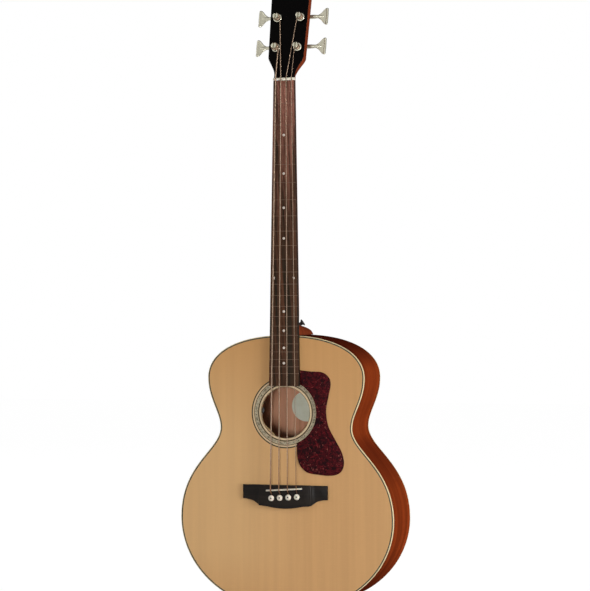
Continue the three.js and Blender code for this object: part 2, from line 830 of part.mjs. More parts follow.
function pickupGeometry() {
  const floor = bridgeFace + saddleSlotDepth - seat;
  const reach = saddleLength * half - 2 * seat;
  return box(-reach, reach, floor - pickupHeight, floor, -pickupWidth * half, pickupWidth * half)
    .rotateY(-slant).translate(0, 0, saddleZ);
}

// A bridge pin with a domed head, standing 0 at the bridge's face and growing into the body along Y
function pinGeometry() {
  const under = -seat;
  const profile = [
    ...pinDomeShares.map(([r, y]) => [r * pinHeadRadius, under - y * pinHeadHeight]),
    [pinShankRadius, under], [pinShankRadius, topThickness + bridgeHeight],
    [pinTipRadius, pinLength - pinTipRadius], [0, pinLength],
  ];
  return turned(profile, 14);
}

// Fingerboard widths and heights at a distance from the nut
const boardHalfWidth = (distance) => nutHalfWidth
  + (jointHalfWidth - nutHalfWidth) * distance / jointDistance;
const boardFace = (distance) => -boardFaceAtNut
  - (boardFaceAtJoint - boardFaceAtNut) * distance / jointDistance;
const boardUnderAtNut = boardThickness - boardFaceAtNut;
const boardUnder = (distance) => boardUnderAtNut
  - (boardUnderAtNut + seat) * Math.min(distance / jointDistance, 1);
const neckTop = (distance) => boardUnder(distance) + seat;

function boardGeometry() {
  const camber = 8;
  return skin([0, jointDistance, boardEndDistance].map((distance) => {
    const width = boardHalfWidth(distance);
    const loop = [];
    for (let i = 0; i <= camber; i += 1) {
      const x = width * (1 - 2 * i / camber);
      loop.push(new THREE.Vector3(x, boardFace(distance) + crown(x), -distance));
    }
    loop.push(new THREE.Vector3(-width, boardUnder(distance), -distance));
    loop.push(new THREE.Vector3(width, boardUnder(distance), -distance));
    return loop;
  }));
}

// Nut with a round-bottomed slot for each string
function nutGeometry() {
  const crest = boardFace(0) - nutCrest;
  const profile = new THREE.Shape();
  profile.moveTo(-nutHalfWidth, neckTop(0) - seat);
  profile.lineTo(nutHalfWidth, neckTop(0) - seat);
  profile.lineTo(nutHalfWidth, crest + crown(nutHalfWidth));
  profile.quadraticCurveTo(0, crest - crown(nutHalfWidth), -nutHalfWidth, crest + crown(nutHalfWidth));
  const blank = extrude(profile, nutLength - 2 * seat, 6).translate(0, 0, seat);
  const tools = stringNames.map((_, i) => {
    const radius = stringRadii[i] + running;
    const slot = new THREE.Shape();
    const y = nutStringY(i);
    slot.moveTo(nutX(i) - radius, crest - overrun);
    slot.lineTo(nutX(i) - radius, y);
    slot.absarc(nutX(i), y, radius, Math.PI, 0, true);
    slot.lineTo(nutX(i) + radius, crest - overrun);
    return extrude(slot, nutLength + 2 * overrun, 4).translate(0, 0, -overrun);
  });
  return cut(blank, ...tools);
}

const nutStringY = (i) => boardFace(0) - nutAction + crown(nutX(i)) - stringRadii[i];

// The neck's cross-section: flat under the fingerboard, rounded behind
function neckLoop(distance, depth, boxShare, backWidth, top) {
  const width = boardHalfWidth(distance);
  const steps = 12;
  const loop = [];
  for (let i = 0; i <= steps; i += 1) {
    const angle = Math.PI * i / steps;
    const round = neckRoundShare - heelSquareShare * boxShare;
    const fall = Math.sin(angle) ** neckFallShare;
    const reach = width + (backWidth - width) * fall * boxShare;
    const across = Math.sign(Math.cos(angle)) * Math.abs(Math.cos(angle)) ** round;
    loop.push(new THREE.Vector3(reach * across, top + (depth - top) * fall, -distance));
  }
  return loop;
}

function neckShaftGeometry() {
  const heelStart = jointDistance - heelRun;
  const depthAt = (distance) => boardFace(distance)
    + neckDepthAtNut + (neckDepthAtHeel - neckDepthAtNut) * Math.min(distance / heelStart, 1);
  const loops = [];
  const shaftSteps = 6;
  for (let i = 0; i < shaftSteps; i += 1) {
    const distance = heelStart * i / shaftSteps;
    loops.push(neckLoop(distance, depthAt(distance), 0, 0, neckTop(distance)));
  }
  heelRunShares.forEach((share, i) => {
    const distance = heelStart + (heelRun - seat) * share;
    const start = depthAt(distance);
    const depth = start + (heelDepth - start) * heelDepthShares[i];
    const width = heelHalfWidth * heelWidthShares[i];
    loops.push(neckLoop(distance, depth, Math.min(2 * heelDepthShares[i], 1), width, neckTop(distance)));
  });
  return skin(loops);
}

// Headstock outline in its own plane, from the throat up to a shallow crest
function headShape() {
  const shape = new THREE.Shape();
  const throat = headThroatHalf;
  const corner = headCornerHalf;
  const top = headTopHalf;
  const side = (s) => {
    const points = [
      ...throatShares.map(([x, z]) => [throat + x * (corner - throat), z * headCornerRise]),
      [(corner + top) * half, (headCornerRise + headShoulderRise) * half], [top, headShoulderRise],
    ];
    return points.map(([x, z]) => [s * x, z]);
  };
  const right = side(1);
  shape.moveTo(right[0][0], right[0][1]);
  right.slice(1).forEach(([x, z]) => shape.lineTo(x, z));
  shape.quadraticCurveTo(top * half, headLength, 0, headLength);
  shape.quadraticCurveTo(-top * half, headLength, -top, headShoulderRise);
  side(-1).reverse().slice(1).forEach(([x, z]) => shape.lineTo(x, z));
  return shape;
}

const headGroup = new THREE.Group();
headGroup.position.set(0, headFaceDrop, nutLength);
headGroup.rotation.x = -headTilt;
headGroup.updateMatrixWorld();

const postPlaces = [
  { x: -lowerPostOffset, z: lowerPostRise, side: -1 },
  { x: -upperPostOffset, z: upperPostRise, side: -1 },
  { x: upperPostOffset, z: upperPostRise, side: 1 },
  { x: lowerPostOffset, z: lowerPostRise, side: 1 },
];

function headBlankGeometry() {
  const front = veneerThickness + seat;
  const blank = slabY(headShape(), front, headThickness, 6);
  const holes = postPlaces.map(({ x, z }) => rod(
    bushingSleeveRadius + seat, -overrun, headThickness + overrun, 20,
  ).translate(x, 0, z));
  return cut(blank, ...holes);
}

function veneerGeometry() {
  const blank = slabY(headShape(), 0, veneerThickness, 6);
  const holes = postPlaces.map(({ x, z }) => rod(
    bushingSleeveRadius + seat, -overrun, veneerThickness + overrun, 20,
  ).translate(x, 0, z));
  const behindNut = box(-far, far, -overrun, veneerThickness + overrun, -overrun, 2 * seat);
  return cut(blank, behindNut, ...holes);
}

// The swelling behind the nut, where the shaft runs into the headstock
function voluteGeometry() {
  const shaft = neckLoop(0, boardFace(0) + neckDepthAtNut, 0, 0, neckTop(0));
  const lifted = shaft.map((p) => p.clone().setZ(nutLength));
  const ahead = new THREE.Vector3(0, Math.sin(headTilt), Math.cos(headTilt));
  const face = headFaceDrop + veneerThickness + 2 * seat;
  const mid = shaft.map((p) => new THREE.Vector3(p.x, Math.max(p.y, face), nutLength)
    .addScaledVector(ahead, seat));
  const last = shaft.map((p) => {
    const depth = Math.min(Math.max(p.y, face), headFaceDrop + headThickness - seat);
    return new THREE.Vector3(p.x * voluteTipShare, depth, nutLength).addScaledVector(ahead, voluteReach);
  });
  return join(skin([shaft, lifted]), skin([mid, last]));
}

const buttonSeat = new THREE.Vector3(buttonOffset, buttonDepth, bodyTop + buttonRise);
const alongButton = new THREE.Quaternion().setFromUnitVectors(new THREE.Vector3(0, 1, 0), buttonAxis);

function neckGeometry() {
  const head = headBlankGeometry().applyMatrix4(headGroup.matrixWorld);
  const tenon = box(
    -tenonHalfWidth, tenonHalfWidth, tenonFront, tenonBack, bodyTop - tenonLength, bodyTop + overrun,
  );
  const spotFace = rod(buttonRadius + seat, 0, buttonHeight, 20)
    .applyQuaternion(alongButton).translate(buttonSeat.x, buttonSeat.y, buttonSeat.z);
  const nutSeat = box(-far, far, -far, neckTop(0), -overrun, nutLength);
  return cut(join(neckShaftGeometry(), voluteGeometry(), head, tenon), rodCut(), spotFace, nutSeat);
}

function rodGeometry() {
  const from = new THREE.Vector3(0, rodDepth(rodTopDistance), -rodTopDistance);
  const to = new THREE.Vector3(0, rodDepth(rodEndDistance), -rodEndDistance);
  return tube([from, to], rodRadius, 12);
}

// The adjusting nut stands 0 at the rod's end and faces the sound hole along -Z
function rodNutGeometry() {
  const nut = rod(rodNutRadius, -rodNutLength, 0, 16);
  const socket = rod(rodSocketRadius, -rodNutLength - overrun, -rodNutLength + rodSocketDepth, 6);
  return cut(nut, socket).rotateX(Math.PI * half);
}

// One tuner stands at its post: Y is the post's axis into the wood, Z runs up the headstock
function bushingGeometry() {
  const bore = postRadius + seat;
  return turned([
    [bore, -bushingFlange], [bushingFlangeRadius - seat, -bushingFlange],
    [bushingFlangeRadius, -bushingFlange * half],
    [bushingFlangeRadius, -seat], [bushingSleeveRadius, -seat], [bushingSleeveRadius, bushingSleeve],
    [bore, bushingSleeve], [bore, -bushingFlange],
  ], 20);
}

function gearGeometry() {
  const thickness = wormLead * toothThicknessShare;
  const outer = gearRadius + toothRise;
  const root = gearRadius - toothSink;
  const crestAngle = (thickness * half - toothRise * flankSlope) / outer;
  const rootAngle = (thickness * half + toothSink * flankSlope) / root;
  const lead = wormLead / (2 * Math.PI * wormRadius * gearRadius);
  return skin([-half, half].map((share) => {
    const loop = [];
    for (let tooth = 0; tooth < gearTeeth; tooth += 1) {
      const middle = 2 * Math.PI * tooth / gearTeeth + share * gearWidth * lead;
      const flanks = [[root, -rootAngle], [outer, -crestAngle], [outer, crestAngle], [root, rootAngle]];
      flanks.forEach(([r, turn]) => {
        loop.push(new THREE.Vector3(
          r * Math.sin(middle + turn), gearDepth + share * gearWidth, r * Math.cos(middle + turn),
        ));
      });
    }
    return loop;
  }));
}

function postGeometry() {
  const back = gearDepth + gearWidth * half + gearScrewHeight;
  const post = turned([
    [0, -postRise], [postCapRadius - seat, -postRise], [postCapRadius, -postRise + postCapHeight * half],
    [postCapRadius, -postRise + postCapHeight], [postRadius, -postRise + 2 * postCapHeight],
    [postRadius, back], [gearScrewRadius, back], [gearScrewRadius, back + gearScrewHeight],
    [0, back + gearScrewHeight],
  ], 16);
  const slot = box(
    -postSlotWidth * half, postSlotWidth * half, -postRise - overrun, -postRise + postSlotDepth,
    -postCapRadius - overrun, postCapRadius + overrun,
  );
  return cut(join(post, gearGeometry()), slot);
}

// Plate with two lugs that carry the worm
function plateGeometry(side) {
  const front = headThickness + seat;
  const back = front + tunerPlateThickness;
  const corner = tunerPlateHalf * half;
  const shape = new THREE.Shape();
  shape.moveTo(-tunerPlateHalf, -tunerPlateBelow + corner);
  shape.quadraticCurveTo(-tunerPlateHalf, -tunerPlateBelow, 0, -tunerPlateBelow);
  shape.quadraticCurveTo(tunerPlateHalf, -tunerPlateBelow, tunerPlateHalf, -tunerPlateBelow + corner);
  shape.lineTo(tunerPlateHalf, tunerPlateAbove - corner);
  shape.quadraticCurveTo(tunerPlateHalf, tunerPlateAbove, 0, tunerPlateAbove);
  shape.quadraticCurveTo(-tunerPlateHalf, tunerPlateAbove, -tunerPlateHalf, tunerPlateAbove - corner);
  shape.holes.push(circleHole(postRadius + seat, 0, 0, 16));
  const lug = (x) => {
    const profile = new THREE.Shape();
    profile.moveTo(front + seat, wormDistance - lugHalfWidth);
    profile.lineTo(gearDepth, wormDistance - lugHalfWidth);
    profile.absarc(gearDepth, wormDistance, lugHalfWidth, -Math.PI * half, Math.PI * half, false);
    profile.lineTo(front + seat, wormDistance + lugHalfWidth);
    return slabX(profile, lugThickness).translate(x, 0, 0);
  };
  const bore = rod(journalRadius + running, -2 * lugOffset, 2 * lugOffset, 12)
    .rotateZ(Math.PI * half).translate(0, gearDepth, wormDistance);
  const outboard = side * lugOffset;
  return cut(join(slabY(shape, front, back, 3), lug(outboard), lug(-outboard)), bore);
}

// Worm thread: a right-handed ridge wound round a core along X, with a gap facing the gear's top tooth
function threadGeometry() {
  const thickness = wormLead * toothThicknessShare;
  const outer = wormRadius + toothRise;
  const root = wormRadius - toothSink - seat;
  const crest = thickness * half - toothRise * flankSlope;
  const foot = thickness * half + (toothSink + seat) * flankSlope;
  const stepsPerTurn = 10;
  const turns = 2 * wormHalfLength / wormLead - 1;
  const steps = Math.round(stepsPerTurn * turns);
  const loops = [];
  for (let i = 0; i <= steps; i += 1) {
    const turn = i / stepsPerTurn - steps * half / stepsPerTurn;
    const angle = 2 * Math.PI * (turn - half) - Math.PI * half;
    const x = wormLead * turn;
    const at = (dx, r) => new THREE.Vector3(x + dx, r * Math.cos(angle), r * Math.sin(angle));
    loops.push([at(-foot, root), at(-crest, outer), at(crest, outer), at(foot, root)]);
  }
  return skin(loops);
}

function keyPaddleGeometry() {
  const length = keyTipReach - keyNeckReach;
  const upper = keyFlareShares.map(([x, z]) => new THREE.Vector2(x * length, z * keyHalfHeight));
  const shape = new THREE.Shape();
  shape.moveTo(upper[0].x, -upper[0].y);
  shape.splineThru(upper.slice(1).map((p) => new THREE.Vector2(p.x, -p.y)));
  const last = upper[upper.length - 1];
  const turn = keyCorner * half;
  const rim = keyHalfHeight;
  shape.quadraticCurveTo(length - keyCorner, -rim, length - turn, -rim + seat);
  shape.quadraticCurveTo(length, -rim + turn, length, -rim + keyCorner);
  shape.lineTo(length, rim - keyCorner);
  shape.quadraticCurveTo(length, rim - turn, length - turn, rim - seat);
  shape.quadraticCurveTo(length - keyCorner, rim, last.x, last.y);
  shape.splineThru(upper.slice(0, -1).reverse());
  const paddle = new THREE.ExtrudeGeometry(shape, {
    depth: keyThickness - 2 * keyEdge, bevelEnabled: true, bevelThickness: keyEdge, bevelSize: keyEdge,
    bevelOffset: -keyEdge, bevelSegments: 1, curveSegments: 2,
  });
  return paddle.translate(keyNeckReach, 0, -keyThickness * half + keyEdge).rotateX(Math.PI * half);
}

function keyGeometry(side, offset) {
  const start = keyStemStart;
  const neck = keyNeckReach - offset;
  const tip = neck + (keyTipReach - keyNeckReach) * half;
  const inner = lugOffset + lugThickness;
  const core = wormRadius - toothSink;
  const profile = [
    [0, -inner - journalRadius * half], [journalRadius, -inner - journalRadius * half],
    [journalRadius, -wormHalfLength - seat], [core, -wormHalfLength - seat], [core, wormHalfLength + seat],
    [journalRadius, wormHalfLength + seat], [journalRadius, inner + seat],
    [keyStemRadius * stemRootShare, inner + seat], [keyStemRadius, start],
    [keyStemRadius * stemMiddleShare, (start + neck) * half], [keyNeckRadius, neck],
    [keyThickness * half, neck + keyStemRadius], [0, tip],
  ];
  const shaft = turned(profile, 12).rotateZ(-Math.PI * half);
  const paddle = keyPaddleGeometry().translate(-offset, 0, 0);
  const body = join(shaft, paddle);
  if (side < 0) body.rotateZ(Math.PI);
  return join(body, threadGeometry());
}

// Strings: from the pin's slot over saddle and nut, then wound round the post in one unbroken tube
const ballDepth = plateUnderside + plateThickness + seat + ballRadius;
function stringPath(i) {
  const radius = stringRadii[i];
  const { x: postX, z: postZ, side } = postPlaces[i];
  const winding = postRadius + seat + radius;
  const points = [];
  const x = saddleX(i);
  const saddleBend = saddleThickness * half + radius + seat;
  const saddleCentre = crown(x) - saddleTopHeight + saddleThickness * half;
  points.push(new THREE.Vector3(x, ballDepth, stringDrop(i)));
  points.push(new THREE.Vector3(x, bridgeFace + radius + seat + stringTuck, stringDrop(i)));
  points.push(new THREE.Vector3(x, bridgeFace + radius + seat, stringDrop(i) + stringTuck));
  [1, half, 0].forEach((share) => {
    const angle = share * stringBreak;
    points.push(new THREE.Vector3(
      x, saddleCentre - saddleBend * Math.cos(angle), saddleLineZ(x) - saddleBend * Math.sin(angle),
    ));
  });
  const nutFront = new THREE.Vector3(nutX(i), nutStringY(i), 0);
  const runs = 4;
  const afterSaddle = points[points.length - 1];
  for (let k = 1; k <= runs; k += 1) points.push(afterSaddle.clone().lerp(nutFront, k / runs));
  const nutBack = new THREE.Vector3(nutX(i), nutStringY(i), nutLength - seat);
  points.push(nutBack);
  const start = headGroup.worldToLocal(nutBack.clone());
  const centre = new THREE.Vector2(postX, postZ);
  const from = new THREE.Vector2(start.x, start.z);
  const gap = centre.clone().sub(from);
  const bearing = Math.atan2(gap.y, gap.x);
  const lean = Math.acos(winding / gap.length());
  const first = bearing + Math.PI - side * lean;
  const lowest = -bushingFlange - seat - radius;
  const pitch = 2 * radius + loopGap;
  const stepsPerLoop = 24;
  const steps = Math.round(stepsPerLoop * stringLoops[i]);
  const touch = new THREE.Vector3(
    centre.x + winding * Math.cos(first), lowest, centre.y + winding * Math.sin(first),
  );
  points.push(headGroup.localToWorld(start.clone().lerp(touch, half)));
  for (let k = 0; k <= steps; k += 1) {
    const turn = k / stepsPerLoop;
    const angle = first - side * 2 * Math.PI * turn;
    points.push(headGroup.localToWorld(new THREE.Vector3(
      centre.x + winding * Math.cos(angle), lowest - pitch * turn, centre.y + winding * Math.sin(angle),
    )));
  }
  return { points, loopStart: points.length - steps - 1, stepsPerLoop };
}

// A string with the ball that holds it under the bridge plate
function stringGeometry(i, path) {
  const ball = rod(ballRadius, -ballLength * half, ballLength * half, 12).rotateZ(Math.PI * half)
    .translate(saddleX(i), ballDepth, pinZ(saddleX(i)) + pinShankRadius + seat + ballRadius);
  return join(tube(path.points, stringRadii[i], 6), ball);
}

// The least gap between one loop and the next, measured on the path's points
function leastSelfGap({ points, loopStart, stepsPerLoop }, radius) {
  let least = Infinity;
  for (let a = loopStart; a < points.length; a += 1) {
    for (let b = a + Math.round(stepsPerLoop * half); b < points.length; b += 1) {
      least = Math.min(least, points[a].distanceTo(points[b]) - 2 * radius);
    }
  }
  return least;
}

// Strap button with a waist, standing 0 at its seat and growing along Y
function buttonGeometry() {
  return turned([
    [0, 0], [buttonFootRadius, 0], [buttonFootRadius, buttonRim * half], [buttonNeckRadius, buttonRim],
    [buttonNeckRadius, buttonHeight - 2 * buttonRim], [buttonRadius, buttonHeight - buttonRim],
    [buttonRadius, buttonHeight - buttonRim * half],
    [buttonRadius * buttonCrownShare, buttonHeight], [0, buttonHeight],
  ], 20);
}

// End jack: a strap collar outside the tail and a threaded barrel through the block, growing along Y
function jackGeometry() {
  const foot = -seat;
  return turned([
    [jackBoreRadius, -jackReach], [jackFlangeRadius - seat, -jackReach],
    [jackFlangeRadius, -jackReach + seat], [jackFlangeRadius, -jackReach + jackFlange],
    [jackNeckRadius, -jackReach + 2 * jackFlange], [jackNeckRadius, -jackFlange],
    [jackFootRadius, -jackFlange * half], [jackFootRadius, foot],
    [jackBarrelRadius, foot], [jackBarrelRadius, jackBarrelLength], [0, jackBarrelLength],
    [0, jackBoreDepth], [jackBoreRadius, jackBoreDepth], [jackBoreRadius, -jackReach],
  ], 16);
}

// Control housing under the bass edge of the sound hole, open where the two thumbwheels show
const controlX = -(holeRadius + controlRimGap);
const wheelX = -(holeRadius + wheelRadius - wheelOverhang);
const wheelY = plateUnderside + controlHeight * half;
const controlCorner = xCrossZ + (controlWidth - controlX) / Math.tan(xTilt)
  + braceWidth * half / Math.sin(xTilt);
const controlZ = controlCorner + controlToBrace + controlLength * half;
function controlGeometry() {
  const back = plateUnderside + controlHeight;
  const shell = box(controlX - controlWidth, controlX, plateUnderside, back,
    controlZ - controlLength * half, controlZ + controlLength * half);
  const room = wheelThickness * half + seat;
  const tools = [-half, half].map((share) => rod(
    wheelRadius + 2 * seat, wheelY - room, wheelY + room, 20,
  ).translate(wheelX, 0, controlZ + share * wheelSpacing));
  return cut(shell, ...tools);
}

function wheelGeometry() {
  const loops = [-half, half].map((share) => {
    const loop = [];
    for (let i = 0; i < 2 * wheelRibs; i += 1) {
      const r = wheelRadius - (i % 2) * wheelRibDepth;
      const angle = Math.PI * i / wheelRibs;
      loop.push(new THREE.Vector3(r * Math.cos(angle), share * wheelThickness, r * Math.sin(angle)));
    }
    return loop;
  });
  return skin(loops);
}

// The label is flat and leans with the rims, and it stands off by the arch's fall across it
function labelGeometry() {
  const z = holeZ + labelRise;
  const lean = Math.atan((tailDepth - neckEndDepth) / bodyLength);
  const fall = backArch * ((labelRadius + labelOffset) / waistHalfWidth) ** 2;
  const back = rimDepth(z) + backArch - backThickness - fall - seat;
  return rod(labelRadius, -labelThickness, 0, 28).rotateX(lean).translate(labelOffset, back, z);
}

function pouchGeometry() {
  const shape = new THREE.Shape();
  const x = pouchWidth * half;
  const z = pouchLength * half;
  const c = pouchCorner;
  shape.moveTo(-x + c, -z);
  shape.lineTo(x - c, -z);
  shape.quadraticCurveTo(x, -z, x, -z + c);
  shape.lineTo(x, z - c);
  shape.quadraticCurveTo(x, z, x - c, z);
  shape.lineTo(-x + c, z);
  shape.quadraticCurveTo(-x, z, -x, z - c);
  shape.lineTo(-x, -z + c);
  shape.quadraticCurveTo(-x, -z, -x + c, -z);
  const block = bodyTop - sideThickness - seat - neckBlockLength;
  return extrude(shape, pouchDepth, 2).translate(0, pouchSetDepth, block - seat - pouchDepth);
}

// Assembly
const guitar = new THREE.Group();
guitar.add(headGroup);

function piece(name, geometry, material, parent = guitar) {
  const mesh = new THREE.Mesh(closed(geometry), material.clone());
  mesh.name = name;
  parent.add(mesh);
  return mesh;
}

piece('soundboard', soundboardGeometry(), spruce);
piece('back_panel', backGeometry(), mahogany);
piece('side_bass', sideGeometry(bassHalf), mahogany);
piece('side_treble', sideGeometry(trebleHalf), mahogany);
piece('top_binding', band(0, bindingWidth, bindingWidth, () => 0, () => bindingHeight), cream);
const backRebate = (z) => rimDepth(z) - bindingHeight;
piece('back_binding', band(0, bindingWidth, bindingWidth, backRebate, rimDepth), cream);
piece('top_lining_bass', topLining(bassHalf), braceWood);
piece('top_lining_treble', topLining(trebleHalf), braceWood);
piece('back_lining_bass', backLining(bassHalf), braceWood);
piece('back_lining_treble', backLining(trebleHalf), braceWood);
piece('neck_block', neckBlockGeometry(), bareMahogany);
piece('tail_block', tailBlockGeometry(), bareMahogany);
piece('x_brace_bass', xBraceGeometry(-1, true), braceWood);
piece('x_brace_treble', xBraceGeometry(1, false), braceWood);
piece('face_brace', faceBraceGeometry(), braceWood);
piece('tone_bar_upper', toneBarGeometry(upperBarShare), braceWood);
piece('tone_bar_lower', toneBarGeometry(lowerBarShare), braceWood);
piece('bridge_plate', bridgePlateGeometry(), bareMahogany);
piece('rosette', rosetteGeometry(), pearl);
piece('pickguard', guardGeometry(), tortoise);
piece('bridge', bridgeGeometry(), bridgeWood);
piece('saddle', saddleGeometry(), bone);
piece('saddle_pickup', pickupGeometry(), brassMetal);
piece('neck', neckGeometry(), mahogany);
piece('fingerboard', boardGeometry(), rosewood);
piece('nut', nutGeometry(), bone);
piece('headstock_veneer', veneerGeometry(), blackVeneer, headGroup);
piece('truss_rod', rodGeometry(), steel);
const rodNut = piece('truss_rod_nut', rodNutGeometry(), steel);
rodNut.position.set(0, rodDepth(rodEndDistance), -rodEndDistance - seat);

stringNames.forEach((name, i) => {
  const x = saddleX(i);
  const pin = piece(`bridge_pin_${name}`, pinGeometry(), cream);
  pin.position.set(x, bridgeFace, pinZ(x));
  const path = stringPath(i);
  piece(`string_${name}`, stringGeometry(i, path), bronze);
  const gap = leastSelfGap(path, stringRadii[i]);
  console.log(`string_${name}: least gap between loops ${gap.toFixed(2)} mm`);

  const place = postPlaces[i];
  const tuner = new THREE.Group();
  tuner.position.set(place.x, 0, place.z);
  headGroup.add(tuner);
  piece(`tuner_bushing_${name}`, bushingGeometry(), nickel, tuner);
  piece(`tuner_plate_${name}`, plateGeometry(place.side), nickel, tuner);
  piece(`tuner_post_${name}`, postGeometry(), nickel, tuner);
  const key = piece(`tuner_key_${name}`, keyGeometry(place.side, Math.abs(place.x)), nickel, tuner);
  key.position.set(0, gearDepth, wormDistance);
});

const button = piece('strap_button', buttonGeometry(), blackPlastic);
button.quaternion.copy(alongButton);
button.position.copy(buttonSeat).addScaledVector(buttonAxis, seat);

const jack = piece('end_jack', jackGeometry(), nickel);
jack.rotation.x = Math.PI * half;
jack.position.set(0, jackDepth, bodyBottom);

piece('control_housing', controlGeometry(), blackPlastic);
['volume_wheel', 'tone_wheel'].forEach((name, i) => {
  const wheel = piece(name, wheelGeometry(), blackPlastic);
  wheel.position.set(wheelX, wheelY, controlZ + (half - i) * wheelSpacing);
});
piece('label', labelGeometry(), paper);
piece('battery_pouch', pouchGeometry(), fabric);

export default guitar;
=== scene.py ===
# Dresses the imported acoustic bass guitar: it builds the visible pieces over the frame, gives each
# its finish, and sets a pale studio round them. Lengths are in millimetres until a mesh is made.
import math

import bmesh
import bpy
from mathutils import Matrix, Vector


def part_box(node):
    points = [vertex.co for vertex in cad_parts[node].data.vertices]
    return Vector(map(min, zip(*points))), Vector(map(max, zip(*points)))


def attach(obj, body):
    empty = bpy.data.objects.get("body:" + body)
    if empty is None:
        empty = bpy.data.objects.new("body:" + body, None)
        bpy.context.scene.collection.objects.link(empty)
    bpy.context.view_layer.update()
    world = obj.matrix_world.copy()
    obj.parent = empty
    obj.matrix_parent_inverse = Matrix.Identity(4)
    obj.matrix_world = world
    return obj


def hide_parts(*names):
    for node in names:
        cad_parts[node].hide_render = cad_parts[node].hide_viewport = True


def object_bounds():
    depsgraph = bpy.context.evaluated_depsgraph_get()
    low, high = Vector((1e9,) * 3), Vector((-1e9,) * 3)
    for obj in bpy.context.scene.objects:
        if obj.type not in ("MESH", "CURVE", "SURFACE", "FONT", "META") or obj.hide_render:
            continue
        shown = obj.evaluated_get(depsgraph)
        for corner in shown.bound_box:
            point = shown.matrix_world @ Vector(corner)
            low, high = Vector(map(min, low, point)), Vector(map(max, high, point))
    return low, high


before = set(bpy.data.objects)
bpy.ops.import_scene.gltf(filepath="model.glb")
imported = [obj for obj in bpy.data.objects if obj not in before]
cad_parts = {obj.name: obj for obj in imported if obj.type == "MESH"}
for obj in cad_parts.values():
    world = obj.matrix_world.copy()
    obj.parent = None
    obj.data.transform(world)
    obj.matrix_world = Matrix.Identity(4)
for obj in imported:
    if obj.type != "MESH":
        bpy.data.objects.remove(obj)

bl_info = {
    "name": "Acoustic bass guitar",
    "version": (1, 0, 0),
    "blender": (4, 5, 0),
    "location": "3D View > Sidebar > Bass guitar",
    "description": "Builds and finishes the visible pieces of an acoustic bass guitar",
    "category": "Add Mesh",
}

MM = 0.001
FRAME_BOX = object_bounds()
TAU = 2 * math.pi
QUARTER = math.pi / 2
WELD = 2e-6
WHITE = (1.0, 1.0, 1.0, 1.0)
ROOT = "guitar"


def colour(red, green, blue):
    """A colour given as it looks on screen, from 0 to 255, as the linear values a shader takes."""
    def linear(level):
        share = level / 255
        return share / 12.92 if share <= 0.04045 else ((share + 0.055) / 1.055) ** 2.4
    return (linear(red), linear(green), linear(blue), 1.0)


# Sizes shared with the solids, in millimetres
SCALE = 781.0
SEMITONES = 12
JOINT_FRET = 17
END_FRET = 24


def fret_distance(fret):
    """How far a fret's place lies from the nut."""
    return SCALE * (1 - 2 ** (-fret / SEMITONES))


JOINT = fret_distance(JOINT_FRET)
BODY_TOP = -JOINT
BODY_LENGTH = 528.7
BODY_BOTTOM = BODY_TOP - BODY_LENGTH
UPPER = (158.0, 81.4)
WAIST = (132.8, 177.9)
LOWER = (215.0, 353.2)
HANDLES = (0.634, 0.584, 0.438, 0.293, 0.249, 0.587, 0.501, 0.639)
OUTLINE_STEPS = (22, 18, 26, 30)
NECK_END_DEPTH = 108.0
TAIL_DEPTH = 123.0
SIDE_THICKNESS = 2.5
TOP_THICKNESS = 3.2
BACK_THICKNESS = 3.0
BACK_ARCH = 11.6
SPINE_SHARE = 0.6
BINDING_WIDTH = 1.2
BINDING_HEIGHT = 3.2
SEAT = 0.3
ROSETTE_RADIUS = 68.6
ROSETTE_THICKNESS = 1.5
GUARD_THICKNESS = 1.4
GUARD_ARC = 62.5
GUARD_TOP = BODY_TOP - 67.0
GUARD_REACH = 117.6
GUARD_TO_BRIDGE = 19.6
GUARD_UPPER = (
    (0.43, 0.016), (0.62, 0.024), (0.735, 0.083), (0.779, 0.18), (0.744, 0.34), (0.7, 0.551),
    (0.736, 0.76), (0.85, 0.945),
)
GUARD_LOWER = (
    (0.963, 0.27), (1, 0.62), (0.94, 0.895), (0.79, 1), (0.57, 0.98), (0.37, 0.912),
    (0.24, 0.662), (0.2, 0.345),
)
BRIDGE_HALF = 85.3
BRIDGE_DEPTH = 45.0
BRIDGE_HEIGHT = 9.2
WING_HEIGHT = 4.2
BRIDGE_SHARES = (
    (1, 0.6), (0.93, 0.606), (0.84, 0.635), (0.75, 0.69), (0.67, 0.785), (0.59, 0.875),
    (0.45, 0.9), (0.3, 0.948), (0.15, 0.986), (0, 1),
)
WING_SHARES = (0.6, 0.74)
COMPENSATION = 3.0
SADDLE_Z = -SCALE - COMPENSATION
BRIDGE_LEAD = 8.3
BRIDGE_TOP = SADDLE_Z + BRIDGE_LEAD
BRIDGE_FACE = -SEAT - BRIDGE_HEIGHT
SLANT = math.radians(3.7)
SADDLE_LENGTH = 72.0
SADDLE_THICKNESS = 3.0
SADDLE_TOP = 15.0
SADDLE_SLOT = 6.6
PICKUP_HEIGHT = 1.8
PIN_SETBACK = 15.2
PIN_HEAD = (5.7, 3.8)
PIN_SHANK = 3.5
PIN_LENGTH = 24.0
STRINGS = ("e", "a", "d", "g")
STRING_RADII = (1.27, 1.02, 0.8, 0.57)
STRING_LOOPS = (2.6, 3.2, 3.8, 4.4)
NUT_PITCH = 10.6
SADDLE_PITCH = 17.2
NUT_HALF = 21.2
JOINT_HALF = 29.05
BOARD_THICKNESS = 7.0
BOARD_END = fret_distance(END_FRET)
BOARD_AT_NUT = 2.3
BOARD_AT_JOINT = 7.5
BOARD_RADIUS = 400.0
HOLE_RADIUS = 48.7
HOLE_GAP = 2.55
HOLE_Z = -BOARD_END - HOLE_GAP - HOLE_RADIUS
NUT_LENGTH = 5.5
NUT_ACTION = 0.8
NECK_DEPTHS = (22.5, 26.0)
HEEL_DEPTH = 106.0
HEEL_HALF = 27.0
HEEL_RUN = 62.0
